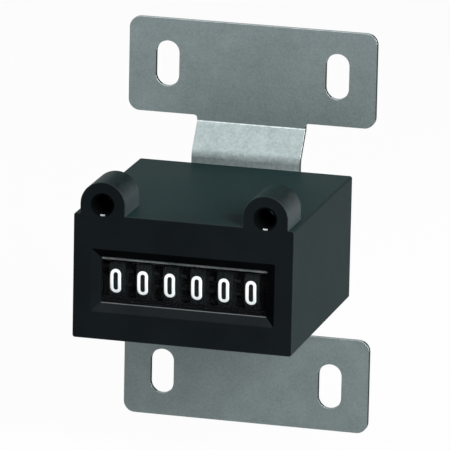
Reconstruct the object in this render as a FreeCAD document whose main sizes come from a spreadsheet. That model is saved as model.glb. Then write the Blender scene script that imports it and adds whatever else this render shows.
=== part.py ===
"""Six-figure electromechanical counter on a base mounting bracket.

Millimetres, +Z up, the figures face -Y and +X is to the right of someone reading them.
The origin is the middle of the slot pattern, on the plane that the bracket is screwed to.
"""
import FreeCAD
import Part
import Sketcher
import math
import os

from FreeCAD import Placement, Rotation, Vector

# Driving dimensions: alias, value, meaning

SIZES = [
    # mounting bracket
    ("flange_width", 51.0, "width of each bracket flange"),
    ("flange_reach", 41.2, "bracket centre to a flange's outer edge"),
    ("flange_height", 19.3, "height of each flange"),
    ("flange_corner", 2.3, "radius of the flange corners"),
    ("sheet", 1.0, "thickness of the bracket sheet"),
    ("neck_width", 22.4, "width of the strip that joins the flanges"),
    ("neck_fillet", 0.7, "radius where the neck meets a flange"),
    ("neck_land", 1.1, "flat length of the neck before its first bend"),
    ("web_step", 3.8, "how far the web stands forward of the flanges"),
    ("web_run", 5.6, "height over which the sheet steps forward"),
    ("bend_tight", 0.5, "inner radius of the bend beside a flange"),
    ("bend_wide", 2.6, "inner radius of the bend beside the web"),
    ("slot_width", 4.8, "width of the mounting slots"),
    ("slot_length", 9.3, "end-to-end length of the mounting slots"),
    ("slot_spacing_x", 35.0, "distance across between the slots"),
    ("slot_spacing_z", 64.0, "distance up and down between the slots"),
    # case
    ("case_width", 44.0, "width of the case"),
    ("case_height", 25.0, "height of the case"),
    ("case_depth", 46.0, "depth of the case, front to rear"),
    ("case_raise", 0.5, "case centre above the bracket centre"),
    ("case_wall", 1.2, "thickness of the top, bottom and sides"),
    ("front_wall", 1.4, "thickness of the front wall"),
    ("case_edge", 0.5, "radius along the case's long edges"),
    ("window_width", 36.7, "width of the window bevel at the face"),
    ("window_height", 12.6, "height of the window bevel at the face"),
    ("aperture_width", 33.2, "width of the window's inner opening"),
    ("aperture_height", 9.0, "height of the window's inner opening"),
    ("bevel_depth", 1.0, "depth of the window bevel"),
    ("window_drop", 0.7, "window centre below the case centre"),
    ("boss_radius", 4.5, "outer radius of the screw bosses"),
    ("boss_length", 10.0, "length of the screw bosses"),
    ("boss_spacing", 32.5, "distance between the screw bosses"),
    ("boss_rise", 1.95, "boss centre above the case top"),
    ("boss_bore", 1.85, "radius of the screw holes in the bosses"),
    ("boss_chamfer", 0.35, "lead-in at the mouth of those holes"),
    # window
    ("lens_thickness", 0.8, "thickness of the clear lens"),
    ("lens_lap", 1.2, "how far the lens laps behind the opening's edge"),
    ("mask_thickness", 0.3, "thickness of the black mask"),
    ("mask_opening", 7.2, "height of the opening in the mask"),
    # rear cover
    ("cover_thickness", 1.6, "thickness of the rear cover"),
    ("cover_rebate", 0.5, "depth of the rebate that the cover sits in"),
    ("fit_gap", 0.1, "gap round pieces that slide into one another"),
    ("grommet_offset", 15.4, "grommet centre left of the middle"),
    ("grommet_room", 1.4, "grommet's rim above the case floor"),
    ("grommet_radius", 2.5, "radius of the grommet's hole in the cover"),
    ("grommet_lip", 0.9, "how far the grommet's rims stand out"),
    ("lead_radius", 0.7, "radius of each lead hole in the grommet"),
    ("lead_spacing", 2.2, "distance between the lead holes"),
    # bracket screws
    ("screw_radius", 1.5, "radius of the bracket screws"),
    ("screw_hole", 1.7, "radius of the screws' clearance holes"),
    ("screw_head_radius", 2.8, "radius of the screw heads"),
    ("screw_head_height", 1.8, "height of the screw heads"),
    ("screw_length", 4.6, "length under the screw heads"),
    ("screw_spacing", 17.0, "distance between the bracket screws"),
    # movement frame
    ("frame_sheet", 1.0, "thickness of the movement frame"),
    ("frame_bend", 0.6, "inner radius of the frame's bends"),
    ("frame_nose", 5.0, "radius of the frame's front corners"),
    ("bore_gap", 0.03, "radial gap of fixed shafts in the frame"),
    ("running_gap", 0.05, "radial gap of turning parts on their shafts"),
    ("slot_cut_width", 12.5, "width of the frame's opening for the leads"),
    # number wheels
    ("wheel_clear", 0.3, "gap between the number wheels and the case floor"),
    ("wheel_gap", 0.2, "gap between the mask and the wheels"),
    ("wheel_pitch", 5.43, "distance between neighbouring wheels"),
    ("wheel_shift", 0.4, "middle of the figures left of the case centre"),
    ("rim_width", 3.1, "width of the rim that carries the figures"),
    ("gear_width", 1.3, "width of the gear beside the rim"),
    ("carry_width", 0.9, "width of the carry disc beside the rim"),
    ("carry_notch", 1.3, "depth of the carry disc's notch"),
    ("notch_width", 2.2, "width of the carry disc's notch"),
    ("spacer_radius", 2.4, "outer radius of the spacers beside the wheels"),
    ("wheel_shaft_radius", 1.0, "radius of the wheel shaft"),
    ("rim_step", 1.7, "how far the figure rim stands above the gear's tips"),
    ("tooth_height", 1.5, "height of the gear teeth"),
    ("gear_space_root", 0.74, "width of a gear's tooth space at the root"),
    ("gear_tooth_tip", 0.5, "width of a gear tooth at the tip"),
    ("ratchet_tip", 5.9, "tip radius of the units ratchet"),
    ("ratchet_root", 4.5, "root radius of the units ratchet"),
    ("ratchet_space_root", 0.74, "width of a ratchet space at the root"),
    ("ratchet_space_tip", 2.2, "width of a ratchet space at the tip"),
    ("ratchet_width", 2.0, "width of the units ratchet"),
    # carry pinions
    ("mesh_gap", 0.3, "gear tips to the pinion roots"),
    ("pinion_clear", 0.4, "gap between the pinions and the case floor"),
    ("pinion_tip", 3.8, "tip radius of the pinions"),
    ("pinion_root", 2.3, "root radius of the pinions"),
    ("pinion_tooth_root", 1.24, "width of a pinion tooth at the root"),
    ("pinion_tooth_tip", 0.5, "width of a pinion tooth at the tip"),
    ("pinion_shaft_radius", 0.75, "radius of the pinion shaft"),
    # armature and verge
    ("pivot_gap", 3.3, "number wheels to the armature shaft, front to rear"),
    ("verge_room", 0.7, "gap between the verge's tube and the case top"),
    ("pivot_radius", 0.9, "radius of the armature shaft"),
    ("verge_hub", 1.9, "radius of the verge's tube"),
    ("verge_thickness", 1.7, "thickness of the pallet fork"),
    ("pallet_gap", 1.2, "ratchet tips to the pallets at rest"),
    ("pallet_angle", 52.0, "pallets either side of the centre line, degrees"),
    ("armature_thickness", 1.2, "thickness of the armature plate"),
    ("armature_width", 14.0, "width of the armature plate"),
    ("armature_length", 14.0, "height of the armature plate"),
    ("air_gap", 1.0, "armature to core at rest"),
    ("peg_side", 1.4, "side of the square pegs that hold the armature plate"),
    ("peg_spacing", 8.0, "distance between those pegs"),
    # return spring
    ("spring_offset", 13.4, "return spring right of the middle"),
    ("spring_arm", 5.8, "armature shaft to the spring's hook"),
    ("spring_coil", 1.2, "mean radius of the spring's turns"),
    ("spring_wire", 0.22, "radius of the spring wire"),
    ("spring_rise", 1.5, "height of one turn of the spring"),
    ("spring_turns", 8.0, "number of turns"),
    # electromagnet
    ("core_radius", 2.5, "radius of the core"),
    ("core_proud", 0.8, "how far the core stands out of the bobbin"),
    ("tenon_radius", 1.8, "radius of the core's riveted end"),
    ("yoke_sheet", 1.6, "thickness of the yoke"),
    ("yoke_width", 13.5, "width of the yoke"),
    ("yoke_top", 0.6, "gap above the yoke"),
    ("bobbin_gap", 0.6, "gap between the bobbin's flanges and the yoke"),
    ("bobbin_flange", 0.9, "thickness of the bobbin's flanges"),
    ("bobbin_wall", 0.9, "thickness of the bobbin's tube"),
    ("winding_set", 0.6, "edge of the bobbin's flanges above the winding"),
    ("tag_block", 4.0, "height of the bobbin's terminal block"),
    ("tag_side", 0.8, "side of the square terminal pins"),
    ("tag_length", 3.2, "length of the terminal pins"),
    ("tag_spacing", 2.8, "distance between the terminal pins"),
]

WHEEL_NAMES = [
    "hundred_thousands_wheel",
    "ten_thousands_wheel",
    "thousands_wheel",
    "hundreds_wheel",
    "tens_wheel",
    "units_wheel",
]
GEAR_TEETH = 20
PINION_TEETH = 8
RATCHET_TEETH = 10
SPRING_RUNS = 10


class Size:
    """A number from the sheet, or worked out from it, with the formula that gives it."""

    def __init__(self, value, formula):
        self.value = float(value)
        self.formula = formula

    def __add__(self, other):
        other = as_size(other)
        return Size(self.value + other.value, f"({self.formula} + {other.formula})")

    def __sub__(self, other):
        other = as_size(other)
        return Size(self.value - other.value, f"({self.formula} - {other.formula})")

    def __mul__(self, other):
        other = as_size(other)
        return Size(self.value * other.value, f"({self.formula} * {other.formula})")

    def __truediv__(self, other):
        other = as_size(other)
        return Size(self.value / other.value, f"({self.formula} / {other.formula})")

    def __neg__(self):
        return Size(-self.value, f"(0 - {self.formula})")

    def __radd__(self, other):
        return as_size(other) + self

    def __rsub__(self, other):
        return as_size(other) - self

    def __rmul__(self, other):
        return as_size(other) * self


def as_size(number):
    if isinstance(number, Size):
        return number
    return Size(number, f"({number})" if number < 0 else f"{number}")


def cosine(angle):
    return Size(math.cos(math.radians(angle.value)), f"cos({angle.formula})")


def sine(angle):
    return Size(math.sin(math.radians(angle.value)), f"sin({angle.formula})")


def arcsine(number):
    return Size(math.degrees(math.asin(number.value)), f"asin({number.formula})")


def root(number):
    return Size(math.sqrt(number.value), f"sqrt({number.formula})")


class Sizes:
    """The driving dimensions, one attribute for each alias of the sheet."""

    def __init__(self, sheet):
        for row, (alias, value, meaning) in enumerate(SIZES, start=1):
            sheet.set(f"A{row}", meaning)
            sheet.set(f"B{row}", str(value))
            sheet.setAlias(f"B{row}", alias)
            setattr(self, alias, Size(value, f"{sheet.Name}.{alias}"))


doc = FreeCAD.newDocument("base_mount_counter")
sheet = doc.addObject("Spreadsheet::Sheet", "Dims")
dims = Sizes(sheet)
doc.recompute()
worked_out = []
parts = []


def on_sheet(alias, size, meaning):
    """Write a worked-out size on the sheet, and refer to it there from now on."""
    worked_out.append(alias)
    row = len(SIZES) + 1 + len(worked_out)
    sheet.set(f"A{row}", meaning)
    sheet.set(f"B{row}", "=" + size.formula.replace(f"{sheet.Name}.", ""))
    sheet.setAlias(f"B{row}", alias)
    return Size(size.value, f"{sheet.Name}.{alias}")


# Places that several pieces share, all worked out from the sheet

case_rear = -(dims.sheet + dims.web_step)
case_front = case_rear - dims.case_depth
case_mid = dims.case_raise
case_top = case_mid + dims.case_height / 2
case_floor = case_mid - dims.case_height / 2
inner_half = dims.case_width / 2 - dims.case_wall
inner_top = case_top - dims.case_wall
inner_floor = case_floor + dims.case_wall
window_mid = case_mid - dims.window_drop
lens_front = case_front + dims.front_wall
mask_front = lens_front + dims.lens_thickness
mask_back = mask_front + dims.mask_thickness
wheel_z = window_mid
wheel_radius = on_sheet(
    "wheel_radius", wheel_z - inner_floor - dims.wheel_clear, "radius of the number wheels"
)
wheel_y = on_sheet("wheel_y", mask_back + dims.wheel_gap + wheel_radius, "wheel axis, along y")
gear_tip = on_sheet("gear_tip", wheel_radius - dims.rim_step, "tip radius of the gears")
gear_root = on_sheet("gear_root", gear_tip - dims.tooth_height, "root radius of the gears")
gear_space_tip = on_sheet(
    "gear_space_tip",
    gear_tip * (2 * math.pi / GEAR_TEETH) - dims.gear_tooth_tip,
    "width of a gear's tooth space at the tip",
)
pinion_z = on_sheet(
    "pinion_z", inner_floor + dims.pinion_clear + dims.pinion_tip, "pinion axis, along z"
)
pinion_distance = on_sheet(
    "pinion_distance", gear_tip + dims.mesh_gap + dims.pinion_root, "wheel axis to pinion axis"
)
pinion_slope = on_sheet(
    "pinion_slope", (pinion_z - wheel_z) / pinion_distance, "sine of the pinions' direction"
)
pinion_angle = arcsine(pinion_slope)
pinion_y = on_sheet(
    "pinion_y", wheel_y + pinion_distance * cosine(pinion_angle), "pinion axis, along y"
)
pivot_y = on_sheet("pivot_y", wheel_y + wheel_radius + dims.pivot_gap, "armature shaft, along y")
pivot_z = on_sheet("pivot_z", inner_top - dims.verge_room - dims.verge_hub, "armature shaft, along z")
pivot_back = pivot_y - wheel_y
pivot_up = pivot_z - wheel_z
pallet_reach = dims.ratchet_tip + dims.pallet_gap
cover_front = case_rear - dims.cover_thickness
wall_front = cover_front - dims.frame_sheet
frame_half = inner_half - dims.fit_gap
ear_inner = frame_half - dims.frame_sheet
frame_top = inner_top - dims.fit_gap
frame_floor = inner_floor + dims.fit_gap
yoke_front = wall_front - dims.yoke_sheet
armature_front = pivot_y - dims.armature_thickness / 3
armature_back = armature_front + dims.armature_thickness
core_front = armature_back + dims.air_gap
bobbin_front = core_front + dims.core_proud
coil_z = case_mid
yoke_low = inner_top - dims.yoke_top - dims.yoke_sheet
bobbin_radius = on_sheet(
    "bobbin_radius", yoke_low - coil_z - dims.bobbin_gap, "radius of the bobbin's flanges"
)
winding_radius = bobbin_radius - dims.winding_set
units_x = 2.5 * dims.wheel_pitch - dims.wheel_shift
ratchet_start = units_x + dims.rim_width / 2
ratchet_end = ratchet_start + dims.ratchet_width
grommet_rim = dims.grommet_radius + dims.grommet_lip
grommet_z = inner_floor + dims.grommet_room + grommet_rim


# Building blocks


def bind(item, path, size):
    """Tie one property of an object to a formula on the sheet."""
    item.setExpression(path, as_size(size).formula)


def place(item, x=0, y=0, z=0, axis=None, angle=0):
    """Put an object at a bound position, turned by an angle about an axis."""
    if axis is not None:
        item.Placement = Placement(Vector(0, 0, 0), Rotation(Vector(*axis), as_size(angle).value))
        if isinstance(angle, Size):
            bind(item, "Placement.Rotation.Angle", angle)
    bind(item, "Placement.Base.x", x)
    bind(item, "Placement.Base.y", y)
    bind(item, "Placement.Base.z", z)
    return item


def keep(item, label):
    """Name an object as one piece of the counter."""
    item.Label = label
    parts.append(item)
    return item


def new_body(name):
    return doc.addObject("PartDesign::Body", name)


def origin_part(body, role):
    return next(item for item in body.Origin.OriginFeatures if item.Role == role)


def new_sketch(body, plane, start=0):
    """A sketch on one of the body's own planes, moved along the plane's normal."""
    sketch = body.newObject("Sketcher::SketchObject", "Sketch")
    sketch.AttachmentSupport = [(origin_part(body, plane), "")]
    sketch.MapMode = "FlatFace"
    bind(sketch, "AttachmentOffset.Base.z", start)
    return sketch


def fix_point(sketch, line, end, point):
    """Hold a point of the sketch at bound distances from the sketch's origin."""
    for kind, size in (("DistanceX", point[0]), ("DistanceY", point[1])):
        size = as_size(size)
        number = sketch.addConstraint(Sketcher.Constraint(kind, -1, 1, line, end, size.value))
        bind(sketch, f"Constraints[{number}]", size)


def polygon(sketch, points):
    """A closed outline of straight lines through the points."""
    corners = [Vector(as_size(x).value, as_size(y).value, 0) for x, y in points]
    first = sketch.GeometryCount
    count = len(corners)
    for number in range(count):
        sketch.addGeometry(Part.LineSegment(corners[number], corners[(number + 1) % count]))
    for number in range(count):
        following = first + (number + 1) % count
        sketch.addConstraint(Sketcher.Constraint("Coincident", first + number, 2, following, 1))
        fix_point(sketch, first + number, 1, points[number])


def rectangle(sketch, left, right, low, high):
    polygon(sketch, [(left, low), (right, low), (right, high), (left, high)])


def square(sketch, x, y, side):
    rectangle(sketch, x - side / 2, x + side / 2, y - side / 2, y + side / 2)


def circle(sketch, x, y, radius):
    radius = as_size(radius)
    centre = Vector(as_size(x).value, as_size(y).value, 0)
    number = sketch.addGeometry(Part.Circle(centre, Vector(0, 0, 1), radius.value))
    fix_point(sketch, number, 3, (x, y))
    rule = sketch.addConstraint(Sketcher.Constraint("Radius", number, radius.value))
    bind(sketch, f"Constraints[{rule}]", radius)


def upright_slot(sketch, x, low, high, radius):
    """A slot with round ends, whose end centres are at the low and high points."""
    x, low, high, radius = (as_size(size) for size in (x, low, high, radius))
    top_mid = Vector(x.value, high.value, 0)
    low_mid = Vector(x.value, low.value, 0)
    up = Vector(0, 0, 1)
    side = Vector(radius.value, 0, 0)
    top = sketch.addGeometry(Part.ArcOfCircle(Part.Circle(top_mid, up, radius.value), 0, math.pi))
    left = sketch.addGeometry(Part.LineSegment(top_mid - side, low_mid - side))
    lower = sketch.addGeometry(
        Part.ArcOfCircle(Part.Circle(low_mid, up, radius.value), math.pi, 2 * math.pi)
    )
    right = sketch.addGeometry(Part.LineSegment(low_mid + side, top_mid + side))
    for first, second in ((top, left), (left, lower), (lower, right), (right, top)):
        sketch.addConstraint(Sketcher.Constraint("Tangent", first, 2, second, 1))
    sketch.addConstraint(Sketcher.Constraint("Equal", top, lower))
    rule = sketch.addConstraint(Sketcher.Constraint("Radius", top, radius.value))
    bind(sketch, f"Constraints[{rule}]", radius)
    fix_point(sketch, top, 3, (x, high))
    fix_point(sketch, lower, 3, (x, low))


def volume(body):
    doc.recompute()
    return body.Shape.Volume


def pad(body, sketch, length):
    """Add material over the sketch, along its plane's normal."""
    before = volume(body) if body.Tip and body.Tip != sketch else 0
    feature = body.newObject("PartDesign::Pad", "Pad")
    feature.Profile = sketch
    bind(feature, "Length", length)
    assert volume(body) > before, f"{body.Name}: a pad adds nothing"
    return feature


def pocket(body, sketch, length, reverse=True):
    """Cut the sketch away; reversed, the cut runs along the plane's normal."""
    before = volume(body)
    feature = body.newObject("PartDesign::Pocket", "Pocket")
    feature.Profile = sketch
    feature.Reversed = reverse
    bind(feature, "Length", length)
    assert volume(body) < before, f"{body.Name}: a pocket cuts nothing"
    return feature


def ring_of(body, feature, count, axis="X_Axis"):
    """Repeat a feature evenly round an axis of the body."""
    pattern = body.newObject("PartDesign::PolarPattern", "Ring")
    pattern.Originals = [feature]
    pattern.Axis = (origin_part(body, axis), [""])
    pattern.Angle = 360
    pattern.Occurrences = count
    body.Tip = pattern
    doc.recompute()
    return pattern


def edges_where(body, test):
    """Names of the body's edges whose end points all pass a test, for fillets."""
    doc.recompute()
    names = []
    for number, edge in enumerate(body.Tip.Shape.Edges, start=1):
        if len(edge.Vertexes) == 2 and test(*(vertex.Point for vertex in edge.Vertexes)):
            names.append(f"Edge{number}")
    return names


def soften(body, kind, names, property_name, size):
    """A fillet or chamfer of a bound size on the named edges."""
    assert names, f"{body.Name}: no edge for a {kind}"
    base = body.Tip
    feature = body.newObject(f"PartDesign::{kind}", kind)
    feature.Base = (base, names)
    bind(feature, property_name, size)
    body.Tip = feature
    doc.recompute()
    return feature


def near(first, second, slack=0.01):
    return abs(first - as_size(second).value) < slack


def turned(name, profile):
    """A body turned about its own X axis from points given as distance along, radius."""
    body = new_body(name)
    sketch = new_sketch(body, "XY_Plane")
    polygon(sketch, profile)
    feature = body.newObject("PartDesign::Revolution", "Turning")
    feature.Profile = sketch
    feature.ReferenceAxis = (origin_part(body, "X_Axis"), [""])
    feature.Angle = 360
    doc.recompute()
    return body


def rod(label, start, end, radius, y, z):
    """A plain round rod that lies along X."""
    item = doc.addObject("Part::Cylinder", "Rod")
    bind(item, "Radius", radius)
    bind(item, "Height", end - start)
    place(item, start, y, z, axis=(0, 1, 0), angle=90)
    return keep(item, label)


# Mounting bracket


def mounting_bracket():
    """One folded sheet: two slotted flanges joined by a web that steps forward to the case."""
    body = new_body("Bracket")
    slope = root(dims.web_run * dims.web_run + dims.web_step * dims.web_step)
    lean = (slope - dims.web_run) / dims.web_step
    shift = dims.sheet * lean
    shoulder = dims.flange_reach - dims.flange_height
    first = shoulder - dims.neck_land
    second = first - dims.web_run
    flange_front = -dims.sheet
    upper = [
        (flange_front, dims.flange_reach),
        (flange_front, first),
        (case_rear, second),
    ]
    back = [
        (case_rear + dims.sheet, second - shift),
        (0, first - shift),
        (0, dims.flange_reach),
    ]
    lower = [(y, -z) for y, z in reversed(upper)]
    lower_back = [(y, -z) for y, z in reversed(back)]
    strip = new_sketch(body, "YZ_Plane", -dims.flange_width / 2)
    polygon(strip, upper + lower + lower_back + back)
    pad(body, strip, dims.flange_width)

    bends = (
        (first, flange_front, dims.bend_tight),
        (first - shift, 0, dims.bend_tight + dims.sheet),
        (second - shift, case_rear + dims.sheet, dims.bend_wide),
        (second, case_rear, dims.bend_wide + dims.sheet),
    )
    for height, depth, radius in bends:
        names = edges_where(
            body,
            lambda a, b: near(abs(a.z), height) and near(a.y, depth) and near(b.y, depth)
            and near(a.z, b.z),
        )
        soften(body, "Fillet", names, "Radius", radius)

    sides = new_sketch(body, "XZ_Plane", -dims.sheet)
    for side in (-1, 1):
        inner = side * dims.neck_width / 2
        outer = side * (dims.flange_width / 2 + 1)
        rectangle(sides, inner, outer, -shoulder, shoulder)
    pocket(body, sides, 2 * dims.web_step + dims.sheet)

    neck = edges_where(
        body,
        lambda a, b: near(abs(a.x), dims.neck_width / 2) and near(abs(a.z), shoulder)
        and near(a.x, b.x) and near(a.z, b.z),
    )
    soften(body, "Fillet", neck, "Radius", dims.neck_fillet)
    corners = edges_where(
        body,
        lambda a, b: near(abs(a.x), dims.flange_width / 2) and near(a.x, b.x) and near(a.z, b.z),
    )
    soften(body, "Fillet", corners, "Radius", dims.flange_corner)

    slots = new_sketch(body, "XZ_Plane", -dims.sheet)
    half_straight = (dims.slot_length - dims.slot_width) / 2
    for side in (-1, 1):
        for level in (-1, 1):
            middle = level * dims.slot_spacing_z / 2
            upright_slot(
                slots,
                side * dims.slot_spacing_x / 2,
                middle - half_straight,
                middle + half_straight,
                dims.slot_width / 2,
            )
    pocket(body, slots, 3 * dims.sheet)

    holes = new_sketch(body, "XZ_Plane")
    for side in (-1, 1):
        circle(holes, side * dims.screw_spacing / 2, case_mid, dims.screw_hole)
    pocket(body, holes, 2 * dims.web_step + dims.sheet)
    return keep(body, "mounting_bracket")


# Case, cover and window


def case_shell():
    """Moulded case, open at the rear, with a bevelled window and two front screw bosses."""
    body = new_body("Case")
    half = dims.case_width / 2
    block = new_sketch(body, "XZ_Plane", -case_rear)
    rectangle(block, -half, half, case_floor, case_top)
    pad(body, block, dims.case_depth)
    long_edges = edges_where(
        body, lambda a, b: near(a.x, b.x) and near(a.z, b.z) and near(abs(a.x), half)
    )
    soften(body, "Fillet", long_edges, "Radius", dims.case_edge)

    boss_z = case_top + dims.boss_rise
    bosses = new_sketch(body, "XZ_Plane", -(case_front + dims.boss_length))
    for side in (-1, 1):
        upright_slot(
            bosses, side * dims.boss_spacing / 2, boss_z - dims.boss_radius, boss_z, dims.boss_radius
        )
    pad(body, bosses, dims.boss_length)

    hollow = new_sketch(body, "XZ_Plane", -case_rear)
    rectangle(hollow, -inner_half, inner_half, inner_floor, inner_top)
    pocket(body, hollow, dims.case_depth - dims.front_wall)

    rebate = new_sketch(body, "XZ_Plane", -case_rear)
    side = inner_half + dims.cover_rebate
    rectangle(rebate, -side, side, inner_floor - dims.cover_rebate, inner_top + dims.cover_rebate)
    pocket(body, rebate, dims.cover_thickness)

    opening = new_sketch(body, "XZ_Plane", -(lens_front + 1))
    side = dims.aperture_width / 2
    rise = dims.aperture_height / 2
    rectangle(opening, -side, side, window_mid - rise, window_mid + rise)
    pocket(body, opening, dims.front_wall + 2)

    inner = new_sketch(body, "XZ_Plane", -(case_front + dims.bevel_depth))
    rectangle(inner, -side, side, window_mid - rise, window_mid + rise)
    outer = new_sketch(body, "XZ_Plane", -case_front)
    side = dims.window_width / 2
    rise = dims.window_height / 2
    rectangle(outer, -side, side, window_mid - rise, window_mid + rise)
    before = volume(body)
    bevel = body.newObject("PartDesign::SubtractiveLoft", "Bevel")
    bevel.Profile = outer
    bevel.Sections = [inner]
    bevel.Ruled = True
    body.Tip = bevel
    assert volume(body) < before, "the window bevel cuts nothing"

    holes = new_sketch(body, "XZ_Plane", -(case_front + dims.boss_length + 1))
    for side in (-1, 1):
        circle(holes, side * dims.boss_spacing / 2, boss_z, dims.boss_bore)
    pocket(body, holes, dims.boss_length + 2)
    doc.recompute()
    mouths = [
        f"Edge{number}"
        for number, edge in enumerate(body.Tip.Shape.Edges, start=1)
        if len(edge.Vertexes) == 1
        and near(edge.Curve.Radius, dims.boss_bore)
        and near(edge.Vertexes[0].Y, case_front)
    ]
    soften(body, "Chamfer", mouths, "Size", dims.boss_chamfer)
    return keep(body, "case_shell")


def rear_cover():
    """Flat cover that closes the rear of the case, with screw holes and a lead hole."""
    body = new_body("Cover")
    side = inner_half + dims.cover_rebate - dims.fit_gap
    low = inner_floor - dims.cover_rebate + dims.fit_gap
    high = inner_top + dims.cover_rebate - dims.fit_gap
    plate = new_sketch(body, "XZ_Plane", -case_rear)
    rectangle(plate, -side, side, low, high)
    for sign in (-1, 1):
        circle(plate, sign * dims.screw_spacing / 2, case_mid, dims.screw_hole)
    circle(plate, -dims.grommet_offset, grommet_z, dims.grommet_radius)
    pad(body, plate, dims.cover_thickness)
    return keep(body, "rear_cover")


def flat_pane(name, label, front, thickness, opening=None):
    """A thin rectangular sheet behind the window, whole or with an opening."""
    body = new_body(name)
    side = dims.aperture_width / 2 + dims.lens_lap
    rise = dims.aperture_height / 2 + dims.lens_lap
    sheet_outline = new_sketch(body, "XZ_Plane", -(front + thickness))
    rectangle(sheet_outline, -side, side, window_mid - rise, window_mid + rise)
    if opening is not None:
        side = dims.aperture_width / 2
        rectangle(sheet_outline, -side, side, window_mid - opening / 2, window_mid + opening / 2)
    pad(body, sheet_outline, thickness)
    return keep(body, label)


def lead_grommet():
    """Rubber grommet in the rear cover, with two holes for the coil's leads."""
    grip = dims.grommet_radius - dims.bore_gap
    rim = grommet_rim
    body = turned(
        "Grommet",
        [
            (-dims.grommet_lip, 0),
            (-dims.grommet_lip, rim),
            (0, rim),
            (0, grip),
            (dims.cover_thickness, grip),
            (dims.cover_thickness, rim),
            (dims.cover_thickness + dims.grommet_lip, rim - dims.grommet_lip / 2),
            (dims.cover_thickness + dims.grommet_lip, 0),
        ],
    )
    holes = new_sketch(body, "YZ_Plane", -2 * dims.grommet_lip)
    for side in (-1, 1):
        circle(holes, side * dims.lead_spacing / 2, 0, dims.lead_radius)
    pocket(body, holes, dims.cover_thickness + 4 * dims.grommet_lip)
    place(body, -dims.grommet_offset, cover_front, grommet_z, axis=(0, 0, 1), angle=90)
    return keep(body, "lead_grommet")


def bracket_screws():
    """Two pan-head screws from behind the web, through the cover, into the frame."""
    head_seat = case_rear + dims.sheet
    screws = []
    for side in (-1, 1):
        head = doc.addObject("Part::Cylinder", "ScrewHead")
        bind(head, "Radius", dims.screw_head_radius)
        bind(head, "Height", dims.screw_head_height)
        shank = doc.addObject("Part::Cylinder", "ScrewShank")
        bind(shank, "Radius", dims.screw_radius)
        bind(shank, "Height", dims.screw_length + dims.screw_head_height)
        x = side * dims.screw_spacing / 2
        place(head, x, head_seat, case_mid, axis=(1, 0, 0), angle=-90)
        place(shank, x, head_seat - dims.screw_length, case_mid, axis=(1, 0, 0), angle=-90)
        screw = doc.addObject("Part::MultiFuse", "Screw")
        screw.Shapes = [head, shank]
        screws.append(screw)
    group = doc.addObject("Part::Compound", "Screws")
    group.Links = screws
    return keep(group, "bracket_screws")


# Movement frame and shafts


def movement_frame():
    """Steel sheet folded to a U: a rear wall and two ears that hold the shafts."""
    body = new_body("Frame")
    plan = new_sketch(body, "XY_Plane", frame_floor)
    polygon(
        plan,
        [
            (-frame_half, mask_back),
            (-ear_inner, mask_back),
            (-ear_inner, wall_front),
            (ear_inner, wall_front),
            (ear_inner, mask_back),
            (frame_half, mask_back),
            (frame_half, cover_front),
            (-frame_half, cover_front),
        ],
    )
    pad(body, plan, frame_top - frame_floor)
    inside = edges_where(
        body,
        lambda a, b: near(abs(a.x), ear_inner) and near(a.y, wall_front) and near(b.y, wall_front)
        and near(a.x, b.x),
    )
    soften(body, "Fillet", inside, "Radius", dims.frame_bend)
    outside = edges_where(
        body,
        lambda a, b: near(abs(a.x), frame_half) and near(a.y, cover_front)
        and near(b.y, cover_front) and near(a.x, b.x),
    )
    soften(body, "Fillet", outside, "Radius", dims.frame_bend + dims.frame_sheet)
    nose = edges_where(
        body,
        lambda a, b: near(a.y, mask_back) and near(b.y, mask_back) and near(a.z, b.z),
    )
    soften(body, "Fillet", nose, "Radius", dims.frame_nose)

    bores = new_sketch(body, "YZ_Plane", -frame_half - 1)
    circle(bores, wheel_y, wheel_z, dims.wheel_shaft_radius + dims.bore_gap)
    circle(bores, pinion_y, pinion_z, dims.pinion_shaft_radius + dims.bore_gap)
    circle(bores, pivot_y, pivot_z, dims.pivot_radius + dims.bore_gap)
    pocket(body, bores, 2 * frame_half + 2)

    wall = new_sketch(body, "XZ_Plane", -(cover_front + 1))
    for side in (-1, 1):
        x = side * dims.screw_spacing / 2
        circle(wall, x, case_mid, dims.screw_radius + dims.bore_gap)
    circle(wall, 0, coil_z, dims.tenon_radius + dims.bore_gap)
    right = -ear_inner + dims.frame_bend + dims.slot_cut_width
    rectangle(wall, -ear_inner + dims.frame_bend, right, frame_floor - 1,
              grommet_z + grommet_rim + dims.fit_gap)
    pocket(body, wall, dims.frame_sheet + 2)

    tab = new_sketch(body, "XY_Plane", frame_floor)
    hook_y = pivot_y + dims.spring_arm
    width = 4 * dims.spring_wire
    rectangle(tab, dims.spring_offset - width, dims.spring_offset + width,
              hook_y - width, wall_front)
    pad(body, tab, dims.frame_sheet)
    hole = new_sketch(body, "XY_Plane", frame_floor - 1)
    square(hole, dims.spring_offset, hook_y, 4 * dims.spring_wire)
    pocket(body, hole, dims.frame_sheet + 2)
    return keep(body, "movement_frame")


def spacer(name, label, start, end):
    """A sleeve that fills the wheel shaft between a wheel and an ear of the frame."""
    body = turned(
        name,
        [
            (0, dims.wheel_shaft_radius + dims.bore_gap),
            (0, dims.spacer_radius),
            (end - start, dims.spacer_radius),
            (end - start, dims.wheel_shaft_radius + dims.bore_gap),
        ],
    )
    place(body, start, wheel_y, wheel_z)
    return keep(body, label)


def shafts_and_spacers():
    rod("wheel_shaft", -frame_half, frame_half, dims.wheel_shaft_radius, wheel_y, wheel_z)
    rod("pinion_shaft", -frame_half, frame_half, dims.pinion_shaft_radius, pinion_y, pinion_z)
    rod("armature_shaft", -frame_half, frame_half, dims.pivot_radius, pivot_y, pivot_z)
    first_wheel = -2.5 * dims.wheel_pitch - dims.wheel_shift - dims.rim_width / 2
    spacer("SpacerLeft", "left_spacer", -ear_inner, first_wheel - dims.fit_gap)
    spacer("SpacerRight", "right_spacer", ratchet_end + dims.fit_gap, ear_inner)


# Number wheels and carry pinions


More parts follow.
